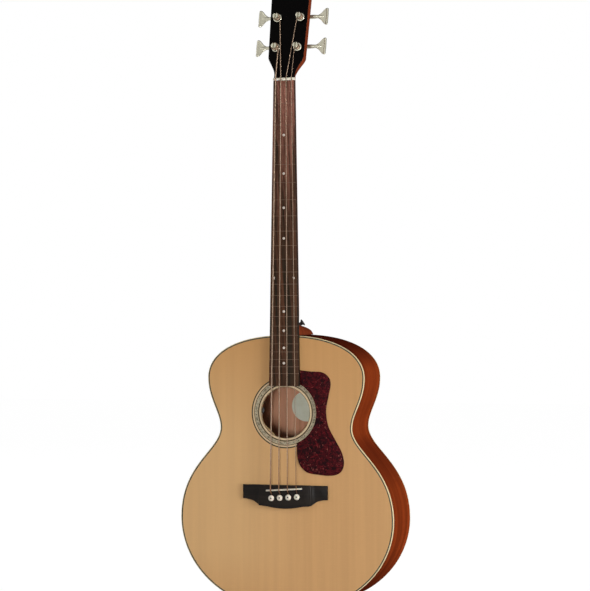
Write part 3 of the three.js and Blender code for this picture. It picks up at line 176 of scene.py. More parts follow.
HEEL_RUN_SHARES = (0, 0.25, 0.42, 0.54, 0.62, 0.67, 0.71, 0.745, 0.8, 0.88, 1)
HEEL_DEPTH_SHARES = (0, 0.02, 0.065, 0.15, 0.28, 0.44, 0.64, 0.81, 0.93, 0.98, 1)
HEEL_WIDTH_SHARES = (0, 0, 0.02, 0.08, 0.16, 0.24, 0.32, 0.4, 0.6, 0.85, 1)
HEAD_TILT = math.radians(14)
HEAD_DROP = 1.1
HEAD_LENGTH = 188.0
HEAD_THICKNESS = 17.5
VENEER = 2.0
HEAD_THROAT = 20.9
HEAD_CORNER = 35.3
HEAD_TOP = 38.6
HEAD_CORNER_RISE = 40.0
HEAD_SHOULDER = 180.0
THROAT_SHARES = ((0, 0), (0, 0.2), (0.17, 0.42), (0.48, 0.64), (0.85, 0.88), (1, 1))
POSTS = {"e": (-21.8, 61.9), "a": (-23.2, 122.7), "d": (23.2, 122.7), "g": (21.8, 61.9)}
POST_RADIUS = 4.6
POST_CAP = (5.3, 1.4)
POST_RISE = 14.6
POST_SLOT = (2.6, 5.0)
BUSHING_FLANGE = (8.3, 1.6)
BUSHING_SLEEVE = (6.2, 9.0)
PLATE_THICKNESS = 1.5
GEAR_TEETH = 16
GEAR_MODULE = 0.8
WORM_RADIUS = 3.1
TOOTH_RISE = 0.6
TOOTH_SINK = 0.9
TOOTH_SHARE = 0.36
FLANK = 0.364
GEAR_WIDTH = 6.0
GEAR_RADIUS = GEAR_TEETH * GEAR_MODULE / 2
WORM_DISTANCE = GEAR_RADIUS + WORM_RADIUS
WORM_LEAD = math.pi * GEAR_MODULE
GEAR_LIFT = 7.2
GEAR_DEPTH = HEAD_THICKNESS + PLATE_THICKNESS + GEAR_LIFT + SEAT
KEY_NECK = 48.5
KEY_TIP = 71.3
KEY_HALF = 17.0
KEY_SHARES = ((0, 0.19), (0.2, 0.24), (0.36, 0.37), (0.5, 0.56), (0.62, 0.76), (0.75, 0.93))
DOT_FRETS = (3, 5, 7, 9, 12, 15, 17, 19, 21)
LAST_LINE = 22
# How far a cutter reaches past the wood, and the sides of the round shapes that are seen large
PAST = 5
ROUND = 128


def crown(x):
    """Fall of a cambered surface away from the centre line."""
    return x * x / (2 * BOARD_RADIUS)


def board_half(distance):
    """Half the fingerboard's width, at a distance from the nut."""
    return NUT_HALF + (JOINT_HALF - NUT_HALF) * distance / JOINT


def board_face(distance):
    """Depth of the fingerboard's face on the centre line."""
    return -BOARD_AT_NUT - (BOARD_AT_JOINT - BOARD_AT_NUT) * distance / JOINT


def board_under(distance):
    """Depth of the fingerboard's underside, which meets the soundboard at the joint."""
    start = BOARD_THICKNESS - BOARD_AT_NUT
    return start - (start + SEAT) * min(distance / JOINT, 1)


def rim_depth(z):
    """Depth of the body at its rim."""
    return NECK_END_DEPTH + (TAIL_DEPTH - NECK_END_DEPTH) * (BODY_TOP - z) / BODY_LENGTH


def string_share(i):
    """A string's place across the row, in steps from the middle."""
    return i - (len(STRINGS) - 1) / 2


def saddle_places():
    return [string_share(i) * SADDLE_PITCH for i in range(len(STRINGS))]


def saddle_line(x):
    return SADDLE_Z + x * math.tan(SLANT)


def pin_place(x):
    return saddle_line(x) - PIN_SETBACK


def side_of(name):
    """The side that a tuner is on: -1 for the bass side and 1 for the treble side."""
    return -1 if POSTS[name][0] < 0 else 1


def head_point(x, y, z):
    """A place in the headstock's own frame, as a place in the guitar's."""
    return Vector((
        x,
        HEAD_DROP + y * math.cos(HEAD_TILT) + z * math.sin(HEAD_TILT),
        NUT_LENGTH - y * math.sin(HEAD_TILT) + z * math.cos(HEAD_TILT),
    ))


# Shader maths
def maths(operation, flipped=False):
    """A method that adds one Math node. The value itself comes first, or last where flipped."""
    def combined(self, *others):
        inputs = (*others, self) if flipped else (self, *others)
        node = self.owner.node("ShaderNodeMath", {"operation": operation}, dict(enumerate(inputs)))
        return Value(self.owner, node.outputs[0])
    return combined


class Value:
    """A number's socket. Arithmetic on it adds Math nodes to its tree."""

    def __init__(self, owner, socket):
        self.owner = owner
        self.socket = socket

    __add__ = __radd__ = maths("ADD")
    __sub__ = maths("SUBTRACT")
    __rsub__ = maths("SUBTRACT", flipped=True)
    __mul__ = __rmul__ = maths("MULTIPLY")
    __truediv__ = maths("DIVIDE")
    __rpow__ = maths("POWER", flipped=True)
    __abs__ = maths("ABSOLUTE")
    sine = maths("SINE")
    root = maths("SQRT")
    above = maths("GREATER_THAN")
    below = maths("LESS_THAN")
    most = maths("MAXIMUM")

    def fitted(self, low, high, new_low=0.0, new_high=1.0):
        """The value mapped from one range to another and held inside it."""
        node = self.owner.node(
            "ShaderNodeMapRange", {}, {0: self, 1: low, 2: high, 3: new_low, 4: new_high})
        return Value(self.owner, node.outputs[0])


class Tree:
    """A node tree, and the one way in which nodes are added to it."""

    def __init__(self, tree):
        self.tree = tree
        tree.nodes.clear()

    def node(self, kind, settings=None, sockets=None):
        """Adds a node, makes its settings, then gives its sockets their values or links."""
        made = self.tree.nodes.new(kind)
        for key, setting in (settings or {}).items():
            setattr(made, key, setting)
        for key, given in (sockets or {}).items():
            name = key.replace("_", " ") if isinstance(key, str) else key
            socket = made.inputs[name]
            if isinstance(given, Value):
                given = given.socket
            if isinstance(given, bpy.types.NodeSocket):
                self.tree.links.new(given, socket)
            else:
                socket.default_value = given
        return made

    def coordinates(self, kind):
        return self.node("ShaderNodeTexCoord").outputs[kind]

    def vector(self, x, y, z):
        return self.node("ShaderNodeCombineXYZ", {}, {0: x, 1: y, 2: z}).outputs[0]

    def split(self, vector):
        """X, Y and Z of a vector."""
        parts = self.node("ShaderNodeSeparateXYZ", {}, {0: vector})
        return tuple(Value(self, output) for output in parts.outputs)


class Finish(Tree):
    """A procedural material: one Principled shader, and what feeds it."""

    def __init__(self, name, **constants):
        self.material = bpy.data.materials.new(name)
        self.material.use_nodes = True
        super().__init__(self.material.node_tree)
        self.shader = self.node("ShaderNodeBsdfPrincipled", {}, constants)
        self.output = self.node("ShaderNodeOutputMaterial", {}, {"Surface": self.shader.outputs[0]})
        self.place = self.coordinates("Object")

    def noise(self, where, scale, detail=3.0, roughness=0.5, distortion=0.0):
        made = self.node("ShaderNodeTexNoise", {}, {
            "Vector": where, "Scale": scale, "Detail": detail, "Roughness": roughness,
            "Distortion": distortion})
        return Value(self, made.outputs[0])

    def stretched(self, x, y, z, where=None):
        """The place with each axis scaled, for grain that runs one way."""
        made = self.node("ShaderNodeMapping", {}, {0: where or self.place, "Scale": (x, y, z)})
        return made.outputs[0]

    def mixed(self, factor, first, second):
        """Two colours mixed."""
        made = self.node("ShaderNodeMix", {"data_type": "RGBA"}, {0: factor, 6: first, 7: second})
        return made.outputs[2]

    def ramp(self, factor, stops, interpolation="LINEAR"):
        """A colour read from a row of stops."""
        made = self.node("ShaderNodeValToRGB", {}, {0: factor})
        band = made.color_ramp
        band.interpolation = interpolation
        while len(band.elements) > 1:
            band.elements.remove(band.elements[-1])
        band.elements[0].position, band.elements[0].color = stops[0]
        for position, shade in stops[1:]:
            band.elements.new(position).color = shade
        return made.outputs[0]

    def feed(self, **links):
        for key, given in links.items():
            source = given.socket if isinstance(given, Value) else given
            self.tree.links.new(source, self.shader.inputs[key.replace("_", " ")])

    def overlaid(self, factor, shade):
        """Mixes a colour over the one that already feeds the shader."""
        under = self.shader.inputs["Base Color"].links[0].from_socket
        self.feed(Base_Color=self.mixed(factor, under, shade))

    def bump(self, height, strength, distance=0.0001):
        made = self.node("ShaderNodeBump", {}, {
            "Strength": strength, "Distance": distance, "Height": height})
        self.feed(Normal=made.outputs[0])

    def clouded(self, cloud, first, second, grain, dull, rough, low=0.3, high=0.7):
        """Two colours that drift into each other with a cloud, and a roughness from a grain."""
        self.feed(Base_Color=self.mixed(cloud.fitted(low, high), first, second),
                  Roughness=grain.fitted(0.3, 0.7, dull, rough))


def tone(shade, factor):
    """A colour made darker or lighter."""
    return (shade[0] * factor, shade[1] * factor, shade[2] * factor, 1.0)


# Mesh helpers
def added(name, data):
    """A new object in the scene."""
    made = bpy.data.objects.new(name, data)
    bpy.context.scene.collection.objects.link(made)
    return made


def flattened(holder):
    """The plain mesh that an object shows. The object itself is taken away."""
    evaluated = holder.evaluated_get(bpy.context.evaluated_depsgraph_get())
    mesh = bpy.data.meshes.new_from_object(evaluated)
    holder.modifiers.clear()
    bpy.data.objects.remove(holder)
    return mesh


def mesh_of(points, faces, uvs=None):
    """A mesh from points in millimetres and faces."""
    mesh = bpy.data.meshes.new("shape")
    mesh.from_pydata([tuple(c * MM for c in p) for p in points], [], faces)
    if uvs:
        layer = mesh.uv_layers.new(name="UVMap")
        for loop in mesh.loops:
            layer.data[loop.index].uv = uvs[loop.vertex_index]
    return mesh


def tidy(mesh):
    """Merges a mesh's doubles and turns its faces outwards."""
    work = bmesh.new()
    work.from_mesh(mesh)
    bmesh.ops.remove_doubles(work, verts=work.verts, dist=WELD)
    bmesh.ops.recalc_face_normals(work, faces=work.faces)
    work.to_mesh(mesh)
    work.free()
    return mesh


def shaded(mesh, angle):
    """Smooth shading, broken where faces meet more sharply than the angle."""
    for polygon in mesh.polygons:
        polygon.use_smooth = True
    mesh.set_sharp_from_angle(angle=math.radians(angle))
    return mesh


def piece(name, mesh, maker, slot, *replaced, body=ROOT, angle=35.0):
    """Puts a mesh in the scene as a piece that rides on a body, with the finish of a maker."""
    made = added(name, shaded(mesh, angle))
    mesh.name = name
    mesh.materials.clear()
    mesh.materials.append(finished(maker).material)
    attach(made, body)
    if replaced:
        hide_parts(*replaced)


def baked(mesh, *modifiers):
    """The mesh with modifiers applied. Each modifier is its type and its settings."""
    holder = added("holder", mesh)
    for kind, settings in modifiers:
        modifier = holder.modifiers.new(kind.lower(), kind)
        for key, setting in settings.items():
            setattr(modifier, key, setting)
    return flattened(holder)


def softened(mesh, width, segments=2, angle=30.0):
    """The mesh with its sharp edges rounded."""
    return baked(mesh, ("BEVEL", {
        "width": width * MM, "segments": segments, "limit_method": "ANGLE",
        "angle_limit": math.radians(angle), "harden_normals": False}))


def joined(*meshes):
    """Several meshes as one, side by side."""
    work = bmesh.new()
    for mesh in meshes:
        work.from_mesh(mesh)
    result = bpy.data.meshes.new("joined")
    work.to_mesh(result)
    work.free()
    return result


def carved(mesh, *cutters, operation="DIFFERENCE"):
    """The mesh less the cutters, or joined or crossed with them."""
    for cutter in cutters:
        tool = added("cutter", cutter)
        mesh = baked(mesh, ("BOOLEAN", {"operation": operation, "object": tool, "solver": "EXACT"}))
        bpy.data.objects.remove(tool)
        if not mesh.polygons:
            raise RuntimeError("a cut left nothing over")
    return mesh


def moulded(mesh, voxel, rounds):
    """Overlapping shapes made one smooth skin, as if carved or cast from one blank."""
    return baked(
        mesh,
        ("REMESH", {"mode": "VOXEL", "voxel_size": voxel * MM, "use_smooth_shade": True}),
        ("SMOOTH", {"factor": 0.5, "iterations": rounds}))


def loft(loops, uvs=None, capped=True):
    """A skin over a row of loops, capped at both ends unless its last loop is its first."""
    count = len(loops[0])
    points = [p for loop in loops for p in loop]
    faces = []
    for i in range(len(loops) - 1):
        here, there = i * count, (i + 1) * count
        for j in range(count):
            k = (j + 1) % count
            faces.append((here + j, there + j, there + k, here + k))
    if capped:
        faces.append(tuple(range(count)))
        faces.append(tuple(range(len(points) - 1, len(points) - 1 - count, -1)))
    return tidy(mesh_of(points, faces, uvs))


def turned(profile, sides=48):
    """A lathed shape about the Y axis, from (radius, height) pairs."""
    points = []
    rows = []
    for radius, height in profile:
        if radius == 0:
            rows.append([len(points)] * sides)
            points.append((0, height, 0))
        else:
            rows.append(list(range(len(points), len(points) + sides)))
            for i in range(sides):
                angle = TAU * i / sides
                points.append((radius * math.cos(angle), height, radius * math.sin(angle)))
    faces = []
    if profile[0] == profile[-1] and profile[0][0] > 0:
        rows[-1] = rows[0]
    for lower, upper in zip(rows, rows[1:]):
        for j in range(sides):
            k = (j + 1) % sides
            face = tuple(dict.fromkeys((lower[j], lower[k], upper[k], upper[j])))
            if len(face) > 2:
                faces.append(face)
    return tidy(mesh_of(points, faces))


def moved(mesh, matrix):
    """The mesh put somewhere else. A mirrored one keeps its faces outwards."""
    mesh.transform(matrix)
    if matrix.is_negative:
        mesh.flip_normals()
    return mesh


def at(x, y, z):
    """A move to a place in millimetres."""
    return Matrix.Translation(Vector((x, y, z)) * MM)


HEAD_MATRIX = at(0, HEAD_DROP, NUT_LENGTH) @ Matrix.Rotation(-HEAD_TILT, 4, "X")
SADDLE_MATRIX = at(0, 0, SADDLE_Z) @ Matrix.Rotation(-SLANT, 4, "Y")
ALONG_X = Matrix.Rotation(-QUARTER, 4, "Z")
ABOUT_FACE = Matrix.Rotation(math.pi, 4, "Z")


def plate(loops, front, back, bevel=0.0, bevel_steps=2):
    """A plate between two depths, from closed loops of (x, z) points. Inner loops are holes."""
    drawing = bpy.data.curves.new("drawing", "CURVE")
    drawing.dimensions = "2D"
    drawing.fill_mode = "BOTH"
    drawing.extrude = max((back - front) / 2 - bevel, 0) * MM
    drawing.bevel_depth = bevel * MM
    drawing.bevel_resolution = bevel_steps
    drawing.offset = -bevel * MM
    for loop in loops:
        spline = drawing.splines.new("POLY")
        spline.points.add(len(loop) - 1)
        for point, (x, z) in zip(spline.points, loop):
            point.co = (x * MM, z * MM, 0, 1)
        spline.use_cyclic_u = True
    mesh = flattened(added("holder", drawing))
    mesh.transform(at(0, (front + back) / 2, 0) @ Matrix.Rotation(QUARTER, 4, "X"))
    mesh.materials.clear()
    return tidy(mesh)


def circle(radius, x=0.0, z=0.0, sides=64):
    return [(x + radius * math.cos(TAU * i / sides), z + radius * math.sin(TAU * i / sides))
            for i in range(sides)]


def block(x0, x1, y0, y1, z0, z1):
    """A box between two corners, for a cut."""
    loop = [(x0, y0), (x1, y0), (x1, y1), (x0, y1)]
    return loft([[(x, y, z) for x, y in loop] for z in (z0, z1)])


def copy_of(node):
    """A merged copy of a solid, its flat faces joined, ready to be refined."""
    work = bmesh.new()
    work.from_mesh(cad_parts[node].data)
    bmesh.ops.remove_doubles(work, verts=work.verts, dist=WELD)
    bmesh.ops.dissolve_limit(work, angle_limit=math.radians(1), verts=work.verts, edges=work.edges)
    bmesh.ops.recalc_face_normals(work, faces=work.faces)
    mesh = bpy.data.meshes.new("copy")
    work.to_mesh(mesh)
    work.free()
    return mesh


def node_box(node):
    """A solid's middle and half its size, in millimetres."""
    low, high = (Vector(corner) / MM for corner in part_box(node))
    return (low + high) / 2, (high - low) / 2


def mirrored(half, shared=0):
    """A half outline and its mirror image, less the points that both have on the centre line."""
    return half + [(-x, z) for x, z in reversed(half[:len(half) - shared])]


def through(points, steps):
    """A smooth line through a few points, by Catmull-Rom curves."""
    knots = [Vector(p) for p in points]
    last = len(knots) - 1
    line = []
    for i in range(last):
        a, b, c, d = (knots[min(max(k, 0), last)] for k in range(i - 1, i + 3))
        for s in range(steps):
            t = s / steps
            line.append(0.5 * ((2 * b) + (c - a) * t + (2 * a - 5 * b + 4 * c - d) * t ** 2
                               + (3 * b - a - 3 * c + d) * t ** 3))
    return [tuple(p) for p in line + [knots[last]]]


def tube(points, radius, sides=12):
    """A round tube along points. U runs round it and V along it, in metres."""
    points = [Vector(p) for p in points]
    loops, uvs = [], []
    normal = Vector((1, 0, 0))
    before = None
    run = 0.0
    for i, point in enumerate(points):
        ahead = points[min(i + 1, len(points) - 1)]
        behind = points[max(i - 1, 0)]
        tangent = (ahead - behind).normalized()
        if before is not None:
            normal.rotate(before.rotation_difference(tangent))
        normal = (normal - tangent * normal.dot(tangent)).normalized()
        before = tangent
        other = tangent.cross(normal)
        if i:
            run += (point - points[i - 1]).length * MM
        loops.append([point + radius * (normal * math.cos(TAU * j / sides)
                                        + other * math.sin(TAU * j / sides)) for j in range(sides)])
        uvs += [(j / sides, run) for j in range(sides)]
    return loft(loops, uvs)


# The body's outline
def bezier(p0, p1, p2, p3, t):
    u = 1 - t
    place = [u ** 3 * a + 3 * u * u * t * b + 3 * u * t * t * c + t ** 3 * d
             for a, b, c, d in zip(p0, p1, p2, p3)]
    slope = [3 * u * u * (b - a) + 6 * u * t * (c - b) + 3 * t * t * (d - c)
             for a, b, c, d in zip(p0, p1, p2, p3)]
    size = math.hypot(*slope)
    return place, (slope[0] / size, slope[1] / size)


def outline(inset=0.0):
    """The body's outline, clockwise from the top centre, moved in by an inset."""
    h = HANDLES
    (ux, uz), (wx, wz), (lx, lz) = UPPER, WAIST, LOWER
    end = BODY_LENGTH
    curves = (
        ((0, 0), (h[0] * ux, 0), (ux, uz * (1 - h[1])), (ux, uz)),
        ((ux, uz), (ux, uz + h[2] * (wz - uz)), (wx, wz - h[3] * (wz - uz)), (wx, wz)),
        ((wx, wz), (wx, wz + h[4] * (lz - wz)), (lx, lz - h[5] * (lz - wz)), (lx, lz)),
        ((lx, lz), (lx, lz + h[6] * (end - lz)), (h[7] * lx, end), (0, end)),
    )
    treble = []
    for number, (curve, steps) in enumerate(zip(curves, OUTLINE_STEPS)):
        for i in range(0 if number == 0 else 1, steps + 1):
            (x, drop), (dx, dz) = bezier(*curve, i / steps)
            treble.append((x - inset * dz, BODY_TOP - drop - inset * dx))
    treble[0] = (0.0, treble[0][1])
    treble[-1] = (0.0, treble[-1][1])
    return treble + [(-x, z) for x, z in reversed(treble[1:-1])]


def rim(section, span=None):
    """A strip along the outline. Its section is a row of (inset, depth) pairs, where a depth may
    follow Z. A span takes only part of the outline."""
    rows = []
    for inset, depth in section:
        rows.append([(x, depth(z) if callable(depth) else depth, z) for x, z in outline(inset)])
    loops = [list(loop) for loop in zip(*rows)]
    loops.append(loops[0])
    middle = outline(0)
    middle.append(middle[0])
    run, uvs = 0.0, []
    for i, (x, z) in enumerate(middle):
        if i:
            run += math.hypot(x - middle[i - 1][0], z - middle[i - 1][1]) * MM
        uvs += [(run, point[1] * MM) for point in loops[i]]
    if span is None:
        return loft(loops, uvs, capped=False)
    start, end = span
    size = len(section)
    return loft(loops[start:end + 1], uvs[start * size:(end + 1) * size])


class Growth(Tree):
    """A Geometry Nodes tree with named sizes, run once to give a plain mesh."""

    def __init__(self, name):
        super().__init__(bpy.data.node_groups.new(name, "GeometryNodeTree"))
        for way in ("INPUT", "OUTPUT"):
            self.tree.interface.new_socket(
                "Geometry", in_out=way, socket_type="NodeSocketGeometry")
        self.entry = self.node("NodeGroupInput")
        self.given = {}

    def size(self, label, value, kind="NodeSocketFloat"):
        """A named input and its value, in metres where it is a length."""
        made = self.tree.interface.new_socket(label, in_out="INPUT", socket_type=kind)
        self.given[made.identifier] = value
        return Value(self, self.entry.outputs[label])

    def instances(self, points, shape, **sockets):
        return self.node("GeometryNodeInstanceOnPoints", {}, {
            "Points": points, "Instance": shape, **sockets}).outputs[0]

    def realized(self, geometry):
        return self.node("GeometryNodeRealizeInstances", {}, {0: geometry}).outputs[0]

    def lifted(self, geometry, offset):
        return self.node("GeometryNodeSetPosition", {}, {
            "Geometry": geometry, "Offset": offset}).outputs[0]

    def grown(self, base, geometry, maker):
        """Runs the tree on a base mesh and gives the result as a mesh."""
        dressed = self.node("GeometryNodeSetMaterial", {}, {
            0: self.realized(geometry), "Material": finished(maker).material}).outputs[0]
        self.node("NodeGroupOutput", {}, {0: dressed})
        holder = added("holder", base)
        modifier = holder.modifiers.new("growth", "NODES")
        modifier.node_group = self.tree
        for identifier, value in self.given.items():
            modifier[identifier] = value
        return flattened(holder)


def repeated(shape, places, maker, label):
    """Copies of one shape at a row of places, given in millimetres."""
    growth = Growth(label)
    source = added(label, shape)
    chosen_shape = growth.size("Shape", source, "NodeSocketObject")
    info = growth.node("GeometryNodeObjectInfo", {}, {"Object": chosen_shape})
    copies = growth.instances(growth.entry.outputs["Geometry"], info.outputs["Geometry"])
    result = growth.grown(mesh_of(places, []), copies, maker)
    bpy.data.objects.remove(source)
    return result


# Finishes, from what the photographed surfaces show
FINISHES = {}


def finished(maker):
    """The finish that a maker gives, made once and shared by its pieces."""
    if maker.__name__ not in FINISHES:
        FINISHES[maker.__name__] = maker()
    return FINISHES[maker.__name__]


# How much finer than a wood's figure its streaks and its pores are
STREAKS = 9
PORES = 45


def wood(name, pale, dark, along, figure, pores=0.4, roughness=0.36, coat=0.0, gloss=0.0,
         flow="Object"):
    """Open-grained wood whose fibres run along the axis with the smallest share."""
    made = Finish(name, Coat_Weight=coat, Coat_Roughness=0.2, Specular_IOR_Level=gloss)
    grain = made.stretched(*along, made.coordinates(flow))
    broad = made.noise(grain, figure, 4, 0.55, 0.7)
    streak = made.noise(grain, figure * STREAKS, 3, 0.6)
    pore = made.noise(grain, figure * PORES, 2).fitted(0.58, 0.7)
    base = made.mixed(broad.fitted(0.32, 0.68), dark, pale)
    base = made.mixed(streak.fitted(0.45, 0.75) * 0.45, base, dark)
    base = made.mixed(pore * pores, base, tone(dark, 0.35))
    made.feed(Base_Color=base,
              Roughness=broad.fitted(0.2, 0.8, roughness - 0.04, roughness + 0.08) + pore * 0.1)
    made.bump(1 - pore, 0.12, 0.00015)
    return made


def spruce_top():
    """Spruce with fine growth rings and silk across them, deeper in colour above the waist and
    paler low on the bass side, where a painted highlight lies."""
    made = Finish("spruce_top", Coat_Weight=0.03, Coat_Roughness=0.2, Specular_IOR_Level=0.12)
    pale = chosen("bass_body", "spruce")
    ring_pitch = 0.0019
    x, _, z = made.split(made.place)
    drift = made.noise(made.stretched(6, 1, 1.1), 2.2, 2)
    ring = ((abs(x) + drift * 0.006) * (TAU / ring_pitch)).sine().fitted(-0.2, 1.0)
    wide = made.noise(made.stretched(1, 1, 0.03), 60, 3, 0.6)
    silk = made.noise(made.stretched(0.12, 1, 1), 420, 2, 0.6).fitted(0.55, 0.75)
    base = made.mixed(wide.fitted(0.3, 0.7), tone(pale, 0.93), tone(pale, 1.05))
    base = made.mixed(ring * 0.16, base, tone(pale, 0.62))
    base = made.mixed(silk * 0.12, base, tone(pale, 1.3))
    base = made.mixed(z.fitted(-0.72, -0.5) * 0.35, base, colour(178, 126, 66))
    # painted highlight: paler low on the bass side
    painted_highlight = x.fitted(0.05, -0.1) * z.fitted(-0.5, -0.68) * z.fitted(-1.0, -0.9)
    base = made.mixed(painted_highlight * 0.3, base, colour(224, 188, 136))
    made.feed(Base_Color=base, Roughness=wide.fitted(0.2, 0.8, 0.3, 0.38))
    made.bump(ring + silk * 0.4, 0.05)
    return made


def mahogany_back():
    """Mahogany, polished outside and bare on its inner face."""
    shade = chosen("bass_body", "mahogany")
    made = wood("mahogany_back", shade, tone(shade, 0.5), (1, 1, 0.06), 30, gloss=0.08)
    bare = made.noise(made.stretched(1, 1, 0.05), 60, 4, 0.6)
    raw = made.mixed(bare.fitted(0.3, 0.7), colour(200, 132, 100), colour(248, 188, 152))
    inside = made.node("ShaderNodeAttribute", {"attribute_name": "inside"}).outputs["Fac"]
    made.overlaid(inside, raw)
    return made


def mahogany_sides():
    """Mahogany along the rim, with painted shade in wine red where it turns up or down."""
    shade = chosen("bass_body", "mahogany")
    made = wood("mahogany_sides", shade, tone(shade, 0.45), (0.07, 1, 1), 30, flow="UV")
    painted_shade_tilt = made.split(made.coordinates("Normal"))[2]
    # painted shade: darker wine red where the side faces up or down
    made.overlaid(abs(painted_shade_tilt).fitted(0.35, 0.95) * 0.7, colour(52, 8, 12))
    return made


def mahogany_neck():
    shade = chosen("bass_neck", "mahogany")
    return wood("mahogany_neck", shade, tone(shade, 0.55), (1, 1, 0.05), 40)


def rosewood_board():
    """Rosewood, paler and redder towards the nut where a reflection is painted, and darkened at its
    edges by painted shade.
    """
    made = Finish("rosewood_board", Specular_IOR_Level=0.05)
    pale, dark = colour(96, 62, 44), colour(44, 35, 25)
    x, y, z = made.split(made.place)
    skewed = made.vector(x + z * 0.05, y, z * 0.05)
    broad = made.noise(skewed, 90, 4, 0.6, 0.9)
    streak = made.noise(skewed, 420, 3, 0.6)
    pore = made.noise(made.vector(x, y, z * 0.04), 1700, 2).fitted(0.58, 0.68)
    painted_reflection_near_nut = z.fitted(-0.3, -0.02)
    edge = abs(made.split(made.coordinates("Normal"))[0]).fitted(0.5, 0.9)
    half = z * ((NUT_HALF - JOINT_HALF) / JOINT) + NUT_HALF * MM
    base = made.mixed(broad.fitted(0.36, 0.64), dark, pale)
    # painted reflection: paler and redder towards the nut
    base = made.mixed(painted_reflection_near_nut * broad.fitted(0.38, 0.6) * 0.85, base, colour(178, 118, 102))
    base = made.mixed(streak.fitted(0.47, 0.7) * 0.6, base, tone(dark, 0.7))
    base = made.mixed(pore * 0.6, base, tone(dark, 0.3))
    # painted shade along the treble edge of the face
    base = made.mixed((x / half).fitted(0.91, 0.98) * 0.6, base, tone(dark, 0.5))
    # painted shade on the board's side faces, where they turn sideways
    base = made.mixed(edge * 0.85, base, tone(dark, 0.4))
    made.feed(Base_Color=base, Roughness=broad.fitted(0.2, 0.8, 0.42, 0.58))
    made.bump(1 - pore, 0.25, 0.0002)
    return made


def bridge_ebony():
    return wood("bridge_ebony", colour(33, 27, 23), colour(12, 10, 9), (0.06, 1, 1), 50,
                pores=0.5, coat=0.02, gloss=0.08)


def brace_spruce():
    return wood("brace_spruce", colour(206, 176, 130), colour(176, 142, 98), (0.2, 1, 0.2), 60,
                pores=0.1, roughness=0.7)


def bare_mahogany():
    return wood("bare_mahogany", colour(160, 112, 86), colour(112, 70, 50), (1, 1, 0.08), 40,
                pores=0.5, roughness=0.75)


def rosette_inlay():
    """Cream and dark rings round a ring of pearl flakes, in millimetres from the hole's middle."""
    made = Finish("rosette_inlay", Coat_Weight=0.05, Coat_Roughness=0.12, Specular_IOR_Level=0.2)
    cream, dark = colour(198, 174, 138), colour(60, 50, 34)
    x, _, z = made.split(made.place)
    from_hole = z - HOLE_Z * MM
    radius = (x * x + from_hole * from_hole).root() / MM
    inner, outer = 48.0, 70.0
    pearl_from, pearl_to = 56.2, 61.2
    rings = ((48.0, dark), (49.5, cream), (53.2, dark), (55.6, cream), (61.8, dark), (63.2, cream),
             (66.2, dark))
    stops = [((edge - inner) / (outer - inner), shade) for edge, shade in rings]
    bands = made.ramp(radius.fitted(inner, outer), stops, "CONSTANT")
    flakes = made.node("ShaderNodeTexVoronoi", {}, {"Vector": made.place, "Scale": 520})
    shade = made.node("ShaderNodeSeparateColor", {}, {0: flakes.outputs["Color"]}).outputs[0]
    pearl = made.ramp(shade, [(0.0, colour(84, 76, 54)), (0.3, colour(140, 134, 112)),
                              (0.65, colour(178, 166, 140)), (1.0, colour(140, 132, 110))])
    in_pearl = radius.above(pearl_from) * radius.below(pearl_to)
    worn = made.noise(made.place, 110)
    base = made.mixed(in_pearl, bands, pearl)
    base = made.mixed(worn.fitted(0.5, 0.75) * in_pearl * 0.7, base, tone(dark, 2.0))
    made.feed(Base_Color=base, Roughness=worn.fitted(0.2, 0.8, 0.24, 0.34))
    made.bump(Value(made, flakes.outputs["Distance"]) * in_pearl, 0.05, 0.0002)
    return made


def cream_binding():
    made = Finish("cream_binding", Coat_Weight=0.05, Coat_Roughness=0.12, Specular_IOR_Level=0.3)
    cloud = made.noise(made.place, 70, 4, 0.6)
    fine = made.noise(made.place, 900, 2)
    made.clouded(cloud, colour(206, 186, 140), colour(220, 202, 156), fine, 0.3, 0.4)
    made.bump(fine, 0.03)
    return made


def dark_purfling():
    made = Finish("dark_purfling")
    fine = made.noise(made.place, 1400)
    made.clouded(fine, colour(38, 34, 15), colour(60, 55, 28), fine, 0.34, 0.44)
    made.bump(fine, 0.05)
    return made


def tortoise_guard():
    """Dark red shell with black clouds, red flecks and a few pale spots."""
    made = Finish("tortoise_guard", Coat_Weight=0.02, Coat_Roughness=0.08, Specular_IOR_Level=0.06)
    cloud = made.noise(made.place, 58, 5, 0.62, 1.6)
    fleck = made.noise(made.stretched(1, 1, 1.4), 150, 4, 0.65, 1.2)
    base = made.ramp(cloud, [
        (0.32, colour(14, 2, 4)), (0.45, colour(42, 3, 8)), (0.54, colour(68, 6, 13)),
        (0.62, colour(34, 3, 8)), (0.72, colour(92, 15, 20))])
    spot = made.noise(made.stretched(1, 1, 0.8), 210, 3, 0.6, 0.8)
    base = made.mixed(fleck.fitted(0.44, 0.34) * 0.8, base, colour(12, 2, 5))
    base = made.mixed(fleck.fitted(0.56, 0.66) * 0.55, base, colour(120, 26, 32))
    base = made.mixed(spot.fitted(0.64, 0.72) * 0.6, base, colour(196, 112, 98))
    made.feed(Base_Color=base, Roughness=cloud.fitted(0.2, 0.8, 0.12, 0.2))
    made.bump(fleck, 0.02)
    return made


def black_gloss():
    made = Finish("black_gloss", Coat_Weight=0.01, Coat_Roughness=0.05, Specular_IOR_Level=0.02)
    haze = made.noise(made.place, 28)
    grain = made.noise(made.stretched(1, 1, 0.05), 700)
    made.clouded(grain, colour(3, 2, 2), colour(8, 5, 5), haze, 0.1, 0.18, low=0.4)
    made.bump(grain, 0.03)
    return made


def bone_white():
    made = Finish("bone_white", Subsurface_Weight=0.08, Subsurface_Scale=0.004)
    cloud = made.noise(made.stretched(0.3, 1, 1), 160, 4, 0.6)
    fine = made.noise(made.place, 1500, 2)
    made.clouded(cloud, colour(206, 196, 176), colour(228, 220, 202), fine, 0.34, 0.44)
    made.bump(fine, 0.04)
    return made


